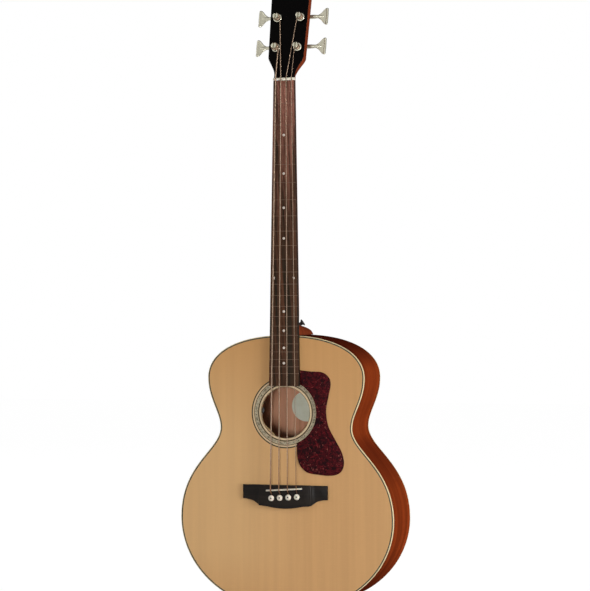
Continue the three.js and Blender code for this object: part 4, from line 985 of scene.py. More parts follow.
def metal(name, shade, roughness, share=1.0):
    """Brushed or plated metal, hazy in places."""
    made = Finish(name, Metallic=share)
    haze = made.noise(made.place, 90)
    fine = made.noise(made.stretched(1, 1, 9), 1300, 2)
    made.clouded(haze, tone(shade, 0.86), shade, haze, roughness * 0.8, roughness * 1.25)
    made.bump(fine, 0.02, 0.00005)
    return made


def nickel_plate():
    return metal("nickel_plate", chosen("bass_tuners", "plating"), 0.24, 0.8)


def brass_gear():
    return metal("brass_gear", colour(196, 158, 98), 0.28)


def steel_rod():
    return metal("steel_rod", colour(150, 150, 148), 0.4)


def wound_bronze():
    """Bronze wire wound round the strings, browner towards the bridge, with painted shade in the
    grooves between its turns.
    """
    made = Finish("wound_bronze", Metallic=0.85)
    along = made.split(made.coordinates("UV"))[1]
    turn = (along * (TAU / chosen_size("bass_strings", "winding"))).sine()
    worn = made.noise(made.place, 300)
    base = made.mixed(worn.fitted(0.3, 0.7), colour(124, 102, 84), colour(170, 146, 124))
    bridge_end_brown = made.split(made.place)[2].fitted(-0.79, -0.71, 0.75, 0.0)
    base = made.mixed(bridge_end_brown, base, colour(118, 70, 30))
    # painted shade in the grooves between the turns
    base = made.mixed(turn.fitted(-1.0, -0.2, 0.5, 0.0), base, colour(74, 60, 48))
    made.feed(Base_Color=base, Roughness=worn.fitted(0.3, 0.7, 0.3, 0.42))
    made.bump(turn, 0.5, 0.00012)
    return made


def black_plastic():
    made = Finish("black_plastic")
    cast = made.noise(made.place, 1100, 3, 0.6)
    wear = made.noise(made.place, 60)
    made.clouded(wear, colour(22, 17, 16), colour(38, 31, 29), cast, 0.4, 0.55)
    made.bump(cast, 0.12)
    return made


def paper_label():
    made = Finish("paper_label")
    pulp = made.noise(made.place, 500, 4, 0.7)
    stain = made.noise(made.place, 40)
    made.clouded(stain, colour(246, 248, 226), colour(232, 230, 202), pulp, 0.8, 0.95, 0.35, 0.75)
    made.bump(pulp, 0.1)
    return made


def pouch_cloth():
    """Black woven cloth, a little fluffy."""
    made = Finish("pouch_cloth")
    thread_pitch = 0.0011
    x, _, z = made.split(made.place)
    weave = (x * (TAU / thread_pitch)).sine() * (z * (TAU / thread_pitch)).sine()
    fluff = made.noise(made.place, 800)
    made.clouded(fluff, colour(22, 22, 24), colour(44, 44, 47), fluff, 0.85, 0.95)
    made.bump(weave + fluff * 0.5, 0.3, 0.0003)
    return made


def dot_pearl():
    made = Finish("dot_pearl", Coat_Weight=0.3, Coat_Roughness=0.1)
    sheen = made.noise(made.place, 700, 3, 0.6, 1.5)
    made.clouded(sheen, colour(196, 182, 168), colour(224, 212, 198), sheen, 0.2, 0.3, 0.35, 0.65)
    made.bump(sheen, 0.03)
    return made


def line_veneer():
    made = Finish("line_veneer")
    fibre = made.noise(made.stretched(0.1, 1, 1), 900)
    made.clouded(fibre, colour(92, 66, 52), colour(120, 92, 74), fibre, 0.45, 0.55)
    made.bump(fibre, 0.08)
    return made


# Shapes of the body
def soundboard_mesh(purfling):
    """The top, with its sound hole, the holes for the pins and the rebate for the rosette."""
    loops = [outline(BINDING_WIDTH + purfling), circle(HOLE_RADIUS, 0, HOLE_Z, ROUND)]
    loops += [circle(PIN_SHANK + 0.3, x, pin_place(x), 24) for x in saddle_places()]
    board = plate(loops, 0, TOP_THICKNESS)
    inner, above = HOLE_RADIUS - 2, -1
    section = [(inner, above), (ROSETTE_RADIUS, above), (ROSETTE_RADIUS, ROSETTE_THICKNESS),
               (inner, ROSETTE_THICKNESS), (inner, above)]
    return carved(board, moved(turned(section, ROUND), at(0, 0, HOLE_Z)))


def rosette_mesh():
    edge = 0.3
    section = [(HOLE_RADIUS, edge), (HOLE_RADIUS + edge, 0), (ROSETTE_RADIUS, 0),
               (ROSETTE_RADIUS, ROSETTE_THICKNESS), (HOLE_RADIUS, ROSETTE_THICKNESS),
               (HOLE_RADIUS, edge)]
    return moved(turned(section, ROUND), at(0, 0, HOLE_Z))


def corner_profile(radius):
    """A quarter round that starts on the side and ends on the face: (inset, depth) pairs."""
    steps = 4
    return [(radius * (1 - math.cos(QUARTER * i / steps)),
             radius * (1 - math.sin(QUARTER * i / steps))) for i in range(steps + 1)]


def top_binding_mesh():
    section = [(0, BINDING_HEIGHT)] + corner_profile(1.0)
    return rim(section + [(BINDING_WIDTH, 0), (BINDING_WIDTH, BINDING_HEIGHT)])


def back_binding_mesh():
    def depth(lift):
        return lambda z: rim_depth(z) - lift
    section = [(0, depth(BINDING_HEIGHT))]
    section += [(inset, depth(lift)) for inset, lift in corner_profile(1.0)]
    return rim(section + [(BINDING_WIDTH, depth(0)), (BINDING_WIDTH, depth(BINDING_HEIGHT))])


def purfling_mesh(width):
    """The dark line beside the binding, a hair proud of the top."""
    near, far, proud, deep = BINDING_WIDTH, BINDING_WIDTH + width, -0.02, 1.5
    return rim([(near, proud), (far, proud), (far, deep), (near, deep)])


def side_mesh(treble):
    count = len(outline(0))
    span = (0, count // 2) if treble else (count // 2, count)

    def back(z):
        return rim_depth(z) - BINDING_HEIGHT
    return rim([(0, BINDING_HEIGHT), (0, back), (SIDE_THICKNESS, back),
                (SIDE_THICKNESS, BINDING_HEIGHT)], span)


def back_mesh():
    """The arched back: rings that close in from the rim towards a spine on the centre line."""
    rings = 14
    rim_line = outline(BINDING_WIDTH)
    middle = BODY_TOP - BODY_LENGTH / 2
    count = len(rim_line)
    points, inside, faces = [], [], []
    for lift in (0, BACK_THICKNESS):
        for r in range(rings + 1):
            share = 1 - r / rings
            for x, z0 in rim_line:
                z = middle + (z0 - middle) * (SPINE_SHARE + (1 - SPINE_SHARE) * share)
                points.append((x * share, rim_depth(z) + BACK_ARCH * (1 - share ** 2) - lift, z))
                inside.append(1.0 if lift else 0.0)
    stride = (rings + 1) * count
    for j in range(count):
        k = (j + 1) % count
        for r in range(rings):
            near, far = r * count, (r + 1) * count
            faces.append((near + j, near + k, far + k, far + j))
            faces.append((stride + near + k, stride + near + j, stride + far + j, stride + far + k))
        faces.append((k, j, stride + j, stride + k))
    mesh = mesh_of(points, faces)
    layer = mesh.attributes.new("inside", "FLOAT", "POINT")
    layer.data.foreach_set("value", inside)
    return tidy(mesh)


def guard_mesh():
    """The pickguard, whose inner edge follows the rosette."""
    low_edge = board_half(BOARD_END) + SEAT
    edge = board_half(-GUARD_TOP) + SEAT
    last_x = GUARD_LOWER[-1][0] * GUARD_REACH
    start = math.acos(low_edge / GUARD_ARC)
    end = -math.acos(last_x / GUARD_ARC)
    arc_end = HOLE_Z + GUARD_ARC * math.sin(end)
    bottom = BRIDGE_TOP + GUARD_TO_BRIDGE
    points = [(edge, GUARD_TOP)]
    points += [(x * GUARD_REACH, GUARD_TOP + z * (arc_end - GUARD_TOP)) for x, z in GUARD_UPPER]
    points += [(x * GUARD_REACH, arc_end + z * (bottom - arc_end)) for x, z in GUARD_LOWER]
    loop = through(points, 8)
    loop.append((last_x, arc_end))
    steps = 40
    for i in range(1, steps + 1):
        angle = end + (start - end) * i / steps
        loop.append((GUARD_ARC * math.cos(angle), HOLE_Z + GUARD_ARC * math.sin(angle)))
    return plate([loop], -SEAT - GUARD_THICKNESS, -0.02, 0.45)


# Shapes of the bridge
def bridge_mesh():
    """The bridge: a plan crossed with a profile whose wings are scooped, then slotted and bored."""
    curve = through([(x * BRIDGE_HALF, BRIDGE_TOP - z * BRIDGE_DEPTH) for x, z in BRIDGE_SHARES], 5)
    plan = [(-BRIDGE_HALF, BRIDGE_TOP), (BRIDGE_HALF, BRIDGE_TOP)] + mirrored(curve, 1)
    blank = plate([plan], BRIDGE_FACE - 1, 0.0)
    start, end = (share * BRIDGE_HALF for share in WING_SHARES)
    wing = -SEAT - WING_HEIGHT
    profile = [(BRIDGE_HALF + PAST, PAST), (BRIDGE_HALF + PAST, wing)]
    steps = 14
    for i in range(steps + 1):
        t = i / steps
        profile.append(((1 - t) ** 2 * end + (2 * t - t * t) * start,
                        (1 - t * t) * wing + t * t * BRIDGE_FACE))
    low, high = BRIDGE_TOP - BRIDGE_DEPTH - PAST, BRIDGE_TOP + PAST
    crosscut = loft([[(x, y, z) for x, y in mirrored(profile)] for z in (low, high)])
    shape = softened(carved(blank, crosscut, operation="INTERSECT"), 0.7, 3, 40)
    above = BRIDGE_FACE - PAST
    half, thick = SADDLE_LENGTH / 2 + 0.1, SADDLE_THICKNESS / 2 + 0.05
    slot = block(-half, half, above, BRIDGE_FACE + SADDLE_SLOT, -thick, thick)
    cutters = [moved(slot, SADDLE_MATRIX)]
    bore = PIN_SHANK + 0.2
    for x, radius in zip(saddle_places(), STRING_RADII):
        z = pin_place(x)
        width = radius + 0.2
        hole = turned([(0, above), (bore, above), (bore, PAST), (0, PAST)], 32)
        cutters.append(moved(hole, at(x, 0, z)))
        cutters.append(block(x - width, x + width, above, BRIDGE_FACE + 6, z, z + 10.6))
    return carved(shape, *cutters)


def saddle_mesh():
    """The saddle, round on top and cambered, on the pickup in its slot."""
    radius = SADDLE_THICKNESS / 2
    bottom = BRIDGE_FACE + SADDLE_SLOT - PICKUP_HEIGHT
    stations, steps = 40, 10
    loops = []
    for i in range(stations + 1):
        x = SADDLE_LENGTH * (i / stations - 0.5)
        end = min(1.0, (SADDLE_LENGTH / 2 - abs(x)) / 2 + 0.55)
        centre = crown(x) - SADDLE_TOP + radius + (1 - end) * 2
        loop = [(x, bottom, -radius)]
        for k in range(steps + 1):
            angle = math.pi * (k / steps - 0.5)
            loop.append((x, centre - radius * math.cos(angle), radius * math.sin(angle)))
        loops.append(loop + [(x, bottom, radius)])
    return moved(loft(loops), SADDLE_MATRIX)


def pin_mesh(x):
    """A bridge pin: a domed head on a collar, and a shank with a tapered end."""
    radius, height = PIN_HEAD
    collar, steps = 1.2, 8
    profile = []
    for i in range(steps + 1):
        angle = QUARTER * i / steps
        profile.append((radius * math.sin(angle),
                        -SEAT - collar - (height - collar) * math.cos(angle)))
    profile += [
        (radius, -SEAT - 0.9), (radius * 0.93, -SEAT), (PIN_SHANK + 0.6, -SEAT + 0.05),
        (PIN_SHANK, 0.6), (PIN_SHANK, 12.4), (2.7, PIN_LENGTH - 2.7), (1.6, PIN_LENGTH - 0.6),
        (0, PIN_LENGTH)]
    return moved(turned(profile, 40), at(x, BRIDGE_FACE, pin_place(x)))


# Shapes of the neck and headstock
def board_mesh():
    """The fingerboard, cambered across its face."""
    steps, camber = 48, 24
    loops = []
    for i in range(steps + 1):
        distance = BOARD_END * i / steps
        half, under = board_half(distance), board_under(distance)
        loop = []
        for j in range(camber + 1):
            x = half * (1 - 2 * j / camber)
            loop.append((x, board_face(distance) + crown(x), -distance))
        loops.append(loop + [(-half, under, -distance), (half, under, -distance)])
    return softened(loft(loops), 0.35, 2, 40)


def neck_loop(distance, depth, square, back_half, top, foot=0.0):
    """The neck's section: flat under the fingerboard and round behind, squarer at the heel's foot."""
    half = board_half(distance)
    steps = 40
    fullness = 1.1 - 0.3 * square - 0.42 * foot
    breadth = 1 - 0.6 * square - 0.26 * foot
    loop = []
    for i in range(steps + 1):
        angle = math.pi * i / steps
        fall = math.sin(angle) ** fullness if 0 < i < steps else 0.0
        reach = half + (back_half - half) * fall * square
        across = math.copysign(abs(math.cos(angle)) ** breadth, math.cos(angle))
        loop.append((reach * across, top + (depth - top) * fall, -distance))
    return loop


def shaft_loops():
    """The neck from the nut to the joint, and the heel that grows out of its back."""
    heel_start = JOINT - HEEL_RUN
    near, far = NECK_DEPTHS

    def depth_at(distance):
        return board_face(distance) + near + (far - near) * min(distance / heel_start, 1)

    def top_at(distance):
        return board_under(distance) + 0.05
    stations = 24
    loops = [neck_loop(distance, depth_at(distance), 0, 0, top_at(distance))
             for distance in (heel_start * i / stations for i in range(stations))]
    table = list(zip(HEEL_RUN_SHARES, HEEL_DEPTH_SHARES, HEEL_WIDTH_SHARES))
    for run, depth_share, width_share in through(table, 6):
        distance = heel_start + (HEEL_RUN - 0.1) * run
        start = depth_at(distance)
        depth = start + (HEEL_DEPTH - start) * depth_share
        foot = min(max(2 * depth_share - 1, 0), 1)
        square = min(2 * max(depth_share, 0), 1)
        back_half = HEEL_HALF * max(width_share, 0)
        loops.append(neck_loop(distance, depth, square, back_half, top_at(distance), foot))
    return loops


def swell_loops(first):
    """The round of the neck, from its section at the nut until it fades into the headstock."""
    ahead = Vector((0, math.sin(HEAD_TILT), math.cos(HEAD_TILT)))
    face = HEAD_DROP + VENEER + 0.3
    floor = HEAD_DROP + HEAD_THICKNESS - 0.5
    length, narrowing, steps = 34.0, 0.1, 10
    loops = [first, [(x, y, NUT_LENGTH) for x, y, _ in first]]
    for s in range(1, steps + 1):
        share = s / steps
        ease = share * share * (3 - 2 * share)
        loop = []
        for x, y, _ in first:
            start = max(y, face)
            end = min(start, floor)
            place = Vector((x * (1 - narrowing * share), start + (end - start) * ease, NUT_LENGTH))
            loop.append(tuple(place + ahead * (length * share)))
        loops.append(loop)
    return loops


def neck_mesh():
    """Shaft, heel and headstock as one piece of wood, recessed for the strap button."""
    shaft = shaft_loops()
    seat_cut = block(-60, 60, -60, board_under(0), 0.02, NUT_LENGTH + 0.3)
    blank = plate([head_outline()] + sleeve_holes(), VENEER, HEAD_THICKNESS, 0.8, 3)
    throat_cuts = [moved(throat_cut(side), HEAD_MATRIX) for side in (1, -1)]
    head = carved(moved(blank, HEAD_MATRIX), seat_cut, *throat_cuts)
    recess = moved(turned([(0, -0.3), (7.2, -0.3), (7.2, 11), (0, 11)]), BUTTON_MATRIX)
    stem = carved(loft(shaft), recess)
    return carved(stem, loft(swell_loops(shaft[0])), head, operation="UNION")


def throat_edge():
    """The headstock's half outline from the nut up to its corner."""
    return through([(HEAD_THROAT + x * (HEAD_CORNER - HEAD_THROAT), z * HEAD_CORNER_RISE)
                    for x, z in THROAT_SHARES], 6)


def throat_cut(side):
    """What the round of the neck takes off one back corner of the headstock, from its throat up."""
    back, front, reach, ease_rise = HEAD_THICKNESS + 1, VENEER + 0.4, 60, 12.0
    loops = []
    for edge, z in throat_edge():
        inset = 6.5 * max(1 - z / HEAD_CORNER_RISE, 0) + 8 * max(1 - z / ease_rise, 0) ** 2
        near, far = edge + 0.2, edge + 0.2 - inset
        loop = [(near, front), (reach, front), (reach, back), (far, back),
                (far + inset * 0.4, back + (front - back) * 0.3),
                (far + inset * 0.75, back + (front - back) * 0.6)]
        loops.append([(side * x, y, z if loops else z - 1) for x, y in loop[::side]])
    return loft(loops)


def head_outline(start=0.0):
    """The headstock's outline, from its throat up to the shallow crest and down again."""
    side = [(x, z) for x, z in throat_edge() if z >= start]
    if start:
        side.insert(0, (HEAD_THROAT, start))
    side.append((HEAD_CORNER + 0.3, HEAD_CORNER_RISE + 2.5))
    steps = 18
    for i in range(steps + 1):
        t = i / steps
        x = (1 - t) ** 2 * HEAD_TOP + t * (1 - t) * HEAD_TOP
        z = (1 - t) ** 2 * HEAD_SHOULDER + (1 - (1 - t) ** 2) * HEAD_LENGTH
        side.append((x, z))
    return mirrored(side, 1)


def sleeve_holes():
    return [circle(BUSHING_SLEEVE[0] + 0.2, x, z, 40) for x, z in POSTS.values()]


def veneer_mesh():
    outer = head_outline(0.3)
    return moved(plate([outer] + sleeve_holes(), 0, VENEER - 0.02, 0.35), HEAD_MATRIX)


def lines_mesh():
    """The fretless board's inlaid lines, one at each fret's place."""
    growth = Growth("fret_lines")
    count = growth.size("Lines", LAST_LINE, "NodeSocketInt")
    scale = growth.size("Scale length", SCALE * MM)
    width = growth.size("Line width", chosen_size("bass_neck", "line_width"))
    nut_half = growth.size("Half width at the nut", NUT_HALF * MM)
    joint_half = growth.size("Half width at the joint", JOINT_HALF * MM)
    joint = growth.size("Joint distance", JOINT * MM)
    nut_rise = growth.size("Face height at the nut", BOARD_AT_NUT * MM)
    joint_rise = growth.size("Face height at the joint", BOARD_AT_JOINT * MM)
    radius = growth.size("Camber radius", BOARD_RADIUS * MM)
    thickness, lift, margin = 0.0004, 0.00017, 0.0001
    row = growth.node("GeometryNodeMeshLine", {"mode": "OFFSET"}, {
        "Count": count, "Offset": (0, 0, 0)})
    number = Value(growth, growth.node("GeometryNodeInputIndex").outputs[0])
    distance = scale * (1 - 2 ** ((number + 1) * (-1 / SEMITONES)))
    placed = growth.lifted(row.outputs[0], growth.vector(0.0, 0.0, 0 - distance))
    bar = growth.node("GeometryNodeMeshCube", {}, {
        "Size": growth.vector(2.0, thickness, width), "Vertices X": 17, "Vertices Y": 2,
        "Vertices Z": 2})
    x, _, z = growth.split(growth.node("GeometryNodeInputPosition").outputs[0])
    half = nut_half + (joint_half - nut_half) * (0 - z) / joint - margin
    bars = growth.instances(placed, bar.outputs[0], Scale=growth.vector(half, 1.0, 1.0))
    face = 0 - nut_rise - (joint_rise - nut_rise) * (0 - z) / joint
    height = face + x * x / (radius * 2) + lift
    raised = growth.lifted(growth.realized(bars), growth.vector(0.0, height, 0.0))
    return growth.grown(mesh_of([], []), raised, line_veneer)


def dots_mesh():
    """Round position marks, halfway between frets, and two at the octave."""
    spread = 19.3
    places = []
    for fret in DOT_FRETS:
        distance = (fret_distance(fret - 1) + fret_distance(fret)) / 2
        for x in ((-spread, spread) if fret == SEMITONES else (0,)):
            places.append((x, board_face(distance) + crown(x), -distance))
    radius = chosen_size("bass_neck", "dot_radius") / MM
    dot = turned([(0, -0.04), (radius - 0.1, -0.04), (radius, 0), (radius, 0.5), (0, 0.5)], 32)
    return repeated(dot, places, dot_pearl, "position_dots")


# Shapes of the tuners, each in its post's own frame on the headstock
def tuner_frame(name):
    x, z = POSTS[name]
    return HEAD_MATRIX @ at(x, 0, z)


def bushing_mesh():
    """A bushing: a flange with a rolled edge on the headstock's face, and a sleeve through it."""
    flange, rise = BUSHING_FLANGE
    sleeve, depth = BUSHING_SLEEVE
    bore = POST_RADIUS + 0.25
    return turned([
        (bore, -rise + 0.4), (bore + 0.5, -rise), (flange - 1.1, -rise),
        (flange - 0.4, -rise + 0.25), (flange, -rise + 0.8), (flange, -0.02), (sleeve, -0.02),
        (sleeve, depth), (bore, depth), (bore, -rise + 0.4)], 64)


def post_mesh():
    """A string post: a rounded cap with a slot across it, a waist, and the screw under its gear."""
    cap, cap_height = POST_CAP
    back = GEAR_DEPTH + GEAR_WIDTH / 2 + 1.4
    profile = [(0, -POST_RISE + 0.35), (cap - 2.2, -POST_RISE + 0.1), (cap - 0.8, -POST_RISE),
               (cap - 0.2, -POST_RISE + 0.25), (cap, -POST_RISE + cap_height * 0.6),
               (cap - 0.15, -POST_RISE + cap_height)]
    profile += [(POST_RADIUS + 0.35 * math.cos(math.pi * i / 6) ** 2, -11.8 + 1.6 * i)
                for i in range(7)]
    profile += [(POST_RADIUS, 0), (POST_RADIUS, back), (3.0, back), (3.0, back + 1.1),
                (2.6, back + 1.4), (0, back + 1.4)]
    width, depth = POST_SLOT
    slot = block(-width / 2, width / 2, -POST_RISE - 2, -POST_RISE + depth, -9, 9)
    return carved(turned(profile, 64), slot)


def gear_mesh():
    """The post's gear, its teeth leaning with the worm's lead and relieved at their tips."""
    thickness = WORM_LEAD * TOOTH_SHARE
    outer, root = GEAR_RADIUS + TOOTH_RISE, GEAR_RADIUS - TOOTH_SINK
    crest_angle = (thickness / 2 - TOOTH_RISE * FLANK) / outer
    root_angle = (thickness / 2 + TOOTH_SINK * FLANK) / root
    lead = WORM_LEAD / (TAU * WORM_RADIUS * GEAR_RADIUS)
    tip, ease = 0.12, (0.012, 0.02)
    flank = [(root, -root_angle), (outer - tip, -crest_angle - ease[0]),
             (outer, -crest_angle + ease[1]), (outer, crest_angle - ease[1]),
             (outer - tip, crest_angle + ease[0]), (root, root_angle)]
    loops = []
    for share, inset in ((-0.5, 0.25), (-0.46, 0), (0, 0), (0.46, 0), (0.5, 0.25)):
        loop = []
        for tooth in range(GEAR_TEETH):
            middle = TAU * tooth / GEAR_TEETH + share * GEAR_WIDTH * lead
            for radius, turn in flank:
                r = radius - inset
                loop.append((r * math.sin(middle + turn), GEAR_DEPTH + share * GEAR_WIDTH,
                             r * math.cos(middle + turn)))
        loops.append(loop)
    return loft(loops)


def bend(start, corner, end):
    """A round corner between two points of an outline, less its end."""
    steps = 8
    return [tuple((1 - t) ** 2 * p + 2 * t * (1 - t) * q + t * t * r
                  for p, q, r in zip(start, corner, end)) for t in (i / steps for i in range(steps))]


def tuner_plate_mesh():
    """A tuner's base plate, its two lugs that carry the worm, and its four screws."""
    front = HEAD_THICKNESS + 0.02
    back = HEAD_THICKNESS + SEAT + PLATE_THICKNESS
    half, below, above = 11.8, 12.0, 18.0
    corner = half / 2
    loop = bend((-half, -below + corner), (-half, -below), (0, -below))
    loop += bend((0, -below), (half, -below), (half, -below + corner))
    loop += bend((half, above - corner), (half, above), (0, above))
    loop += bend((0, above), (-half, above), (-half, above - corner))
    base = plate([loop, circle(POST_RADIUS + 0.3, sides=40)], front, back, 0.35, 3)
    reach, foot, steps = 4.4, back - 0.3, 20
    lug = [(foot, WORM_DISTANCE - reach), (GEAR_DEPTH, WORM_DISTANCE - reach)]
    for i in range(1, steps):
        angle = math.pi * i / steps
        lug.append((GEAR_DEPTH + reach * math.sin(angle), WORM_DISTANCE - reach * math.cos(angle)))
    lug += [(GEAR_DEPTH, WORM_DISTANCE + reach), (foot, WORM_DISTANCE + reach)]
    bore = circle(2.65, GEAR_DEPTH, WORM_DISTANCE, 32)
    upright = ALONG_X @ Matrix.Scale(-1, 4, Vector((1, 0, 0)))
    lugs = [moved(plate([lug, bore], -1.1, 1.1, 0.3), at(x, 0, 0) @ upright) for x in (-7.6, 7.6)]
    screw = turned([(0, 0.25), (0.5, 0.9), (1.2, 0.8), (1.7, 0.45), (1.9, 0), (1.9, -0.3),
                    (0, -0.3)], 20)
    places = [(x, back, z) for x, z in ((-5.6, 15.2), (5.6, 15.2), (-6.2, -8.2), (6.2, -8.2))]
    return joined(base, *lugs, repeated(screw, places, nickel_plate, "plate_screws"))


def worm_mesh(name):
    """The worm and its shaft, along X from the post's plate out to the key."""
    core = WORM_RADIUS - TOOTH_SINK
    stem = KEY_NECK - abs(POSTS["e"][0])
    profile = [
        (0, -11.0), (2.0, -11.0), (2.4, -10.6), (2.4, -4.9), (core, -4.9), (core, 4.9), (2.4, 4.9),
        (2.4, 10.1), (3.3, 10.1), (4.0, 10.6), (4.1, 13.6), (3.9, 20.0), (3.2, stem),
        (0, stem + 0.5)]
    shaft = moved(turned(profile, 40), ALONG_X)
    if side_of(name) < 0:
        shaft = moved(shaft, ABOUT_FACE)
    thickness = WORM_LEAD * TOOTH_SHARE
    outer, root = WORM_RADIUS + TOOTH_RISE, core - SEAT
    crest = thickness / 2 - TOOTH_RISE * FLANK
    foot = thickness / 2 + (TOOTH_SINK + SEAT) * FLANK
    section = ((-foot, root), (-crest, outer - 0.06), (-crest + 0.08, outer),
               (crest - 0.08, outer), (crest, outer - 0.06), (foot, root))
    per_turn, reach = 32, 4.6
    steps = round(per_turn * (2 * reach / WORM_LEAD - 1))
    loops = []
    for i in range(steps + 1):
        turn = i / per_turn - steps / 2 / per_turn
        angle = TAU * (turn - 0.5) - QUARTER
        x = WORM_LEAD * turn
        loops.append([(x + dx, r * math.cos(angle), r * math.sin(angle)) for dx, r in section])
    return joined(shaft, loft(loops))


def key_mesh(name):
    """The key's flared wing and its thick rounded rim, cast as one on the end of its stem."""
    length = KEY_TIP - KEY_NECK
    upper = [(x * length, z * KEY_HALF) for x, z in KEY_SHARES] + [(length - 2.8, KEY_HALF - 0.3)]
    curve = through(upper, 6)
    web = plate([curve + [(x, -z) for x, z in reversed(curve)]], -1.25, 1.25, 0.3)
    rim_radius, ear, edge, steps = 2.25, 2.6, 1.65, 24
    bar = []
    for i in range(steps + 1):
        z = (KEY_HALF - rim_radius) * (2 * i / steps - 1)
        bar.append((length - rim_radius - 0.6 * (z / KEY_HALF) ** 2, 0, z))
    parts = [web, tube(bar, rim_radius, 20)]
    stem = [(0, -10), (3.5, -10), (3.3, -3), (3.2, 2), (2.6, 8), (1.8, 13), (0, 17)]
    parts.append(moved(turned(stem, 32), ALONG_X))
    parts += [moved(ball_mesh(ear), at(bar[0][0], 0, sign * (KEY_HALF - ear))) for sign in (1, -1)]
    parts += [tube([(x, 0, sign * (z - 1.0)) for x, z in curve[6:]], edge) for sign in (1, -1)]
    wing = moved(moulded(joined(*parts), 0.45, 5), at(KEY_NECK - abs(POSTS[name][0]), 0, 0))
    return moved(wing, ABOUT_FACE) if side_of(name) < 0 else wing


def ball_mesh(radius):
    steps = 12
    profile = [(radius * math.sin(math.pi * i / steps), -radius * math.cos(math.pi * i / steps))
               for i in range(1, steps)]
    return turned([(0, -radius)] + profile + [(0, radius)], 24)


# Strings, wound round their posts
def string_path(i):
    """A string's line: up out of the bridge, over the saddle and the nut, and round its post."""
    name, radius = STRINGS[i], STRING_RADII[i]
    post_x, post_z = POSTS[name]
    side = side_of(name)
    gap = 0.12
    winding = POST_RADIUS + gap + radius
    x = string_share(i) * SADDLE_PITCH
    drop = pin_place(x) + PIN_SHANK + radius + 0.4
    points = [(x, 8.0, drop), (x, BRIDGE_FACE + radius + 1.7, drop),
              (x, BRIDGE_FACE + radius + 0.2, drop + 1.2)]
    bend_radius = SADDLE_THICKNESS / 2 + radius + 0.1
    centre = crown(x) - SADDLE_TOP + SADDLE_THICKNESS / 2
    for share in (1, 0.75, 0.5, 0.25, 0):
        angle = share * math.radians(43)
        points.append((x, centre - bend_radius * math.cos(angle),
                       saddle_line(x) - bend_radius * math.sin(angle)))
    nut_x = string_share(i) * NUT_PITCH
    nut_y = board_face(0) - NUT_ACTION + crown(nut_x) - radius
    last = Vector(points[-1])
    spans = 8
    for k in range(1, spans + 1):
        points.append(tuple(last.lerp(Vector((nut_x, nut_y, 0)), k / spans)))
    nut_back = Vector((nut_x, nut_y, NUT_LENGTH - SEAT))
    points.append(tuple(nut_back))
    start = (HEAD_MATRIX.inverted() @ (nut_back * MM)) / MM
    to_post = (post_x - start.x, post_z - start.z)
    turn_in = math.acos(winding / math.hypot(*to_post))
    first = math.atan2(to_post[1], to_post[0]) + math.pi - side * turn_in
    lowest = -BUSHING_FLANGE[1] - 0.15 - radius
    touch = Vector((post_x + winding * math.cos(first), lowest, post_z + winding * math.sin(first)))
    spans = 4
    for k in range(1, spans):
        points.append(tuple(head_point(*start.lerp(touch, k / spans))))
    pitch = 2 * radius + gap
    per_loop = 40
    for k in range(round(per_loop * STRING_LOOPS[i]) + 1):
        turn = k / per_loop
        angle = first - side * TAU * turn
        points.append(tuple(head_point(post_x + winding * math.cos(angle), lowest - pitch * turn,
                                       post_z + winding * math.sin(angle))))
    return points


# Fittings
def turn_to(direction):
    """A turn that takes Y to a direction."""
    return Vector((0, 1, 0)).rotation_difference(Vector(direction)).to_matrix().to_4x4()


BUTTON_MATRIX = at(13.5, 43.2, BODY_TOP + 18.7) @ turn_to((0.78, 0.26, 0.57))


def button_mesh():
    """The strap button: a flared round head on a narrow neck."""
    radius, neck = 6.6, 3.4
    profile = [(0, SEAT), (5.0, SEAT), (5.0, 1.1), (4.2, 1.7)]
    steps = 6
    for i in range(steps + 1):
        angle = QUARTER * i / steps
        profile.append((neck + (radius - neck) * (1 - math.cos(angle)) ** 1.5,
                        2.4 + 6.0 * math.sin(angle)))
    profile += [(radius, 9.6), (radius - 0.25, 10.3), (radius - 0.9, 10.8), (3.0, 11.2), (0, 11.3)]
    return moved(turned(profile), BUTTON_MATRIX)


def jack_mesh():
    """The end jack: a waisted strap pin outside, and a threaded barrel with a bore inside."""
    bore, flange, neck, barrel = 3.3, 9.0, 6.5, 5.2
    profile = [(bore, -13.6), (bore + 0.4, -14.0), (flange - 0.8, -14.0), (flange - 0.2, -13.7),
               (flange, -13.1), (flange, -11.0), (flange - 0.5, -10.3), (neck + 0.4, -8.4),
               (neck, -7.6), (neck, -3.4), (8.1, -1.8), (8.1, -0.02), (barrel, -0.02)]
    pitch, threads = 0.9, 48
    for k in range(threads):
        y = 0.6 + k * pitch
        profile += [(barrel, y), (barrel - 0.35, y + pitch / 2)]
    profile += [(barrel, 45.4), (barrel - 0.5, 46.0), (0, 46.0), (0, 30.0), (bore, 30.0),
                (bore, -13.6)]
    return moved(turned(profile), at(0, 62, BODY_BOTTOM) @ Matrix.Rotation(QUARTER, 4, "X"))


def wheel_mesh(node):
    """A ribbed thumbwheel with a mark on its face."""
    middle, _ = node_box(node)
    radius, ribs, rib_depth, around = 7.0, 30, 0.3, 180
    loops = []
    for rise, inset in ((-1.3, 0.7), (-1.15, 0.15), (-0.9, 0), (0.9, 0), (1.15, 0.15), (1.3, 0.7)):
        loop = []
        for j in range(around):
            angle = TAU * j / around
            reach = radius - inset - rib_depth * (0.5 - 0.5 * math.cos(ribs * angle))
            loop.append((reach * math.cos(angle), rise, reach * math.sin(angle)))
        loops.append(loop)
    mark = block(-0.25, 0.25, -1.5, -1.0, 3.4, 6.2)
    return moved(carved(loft(loops), mark), at(*middle))


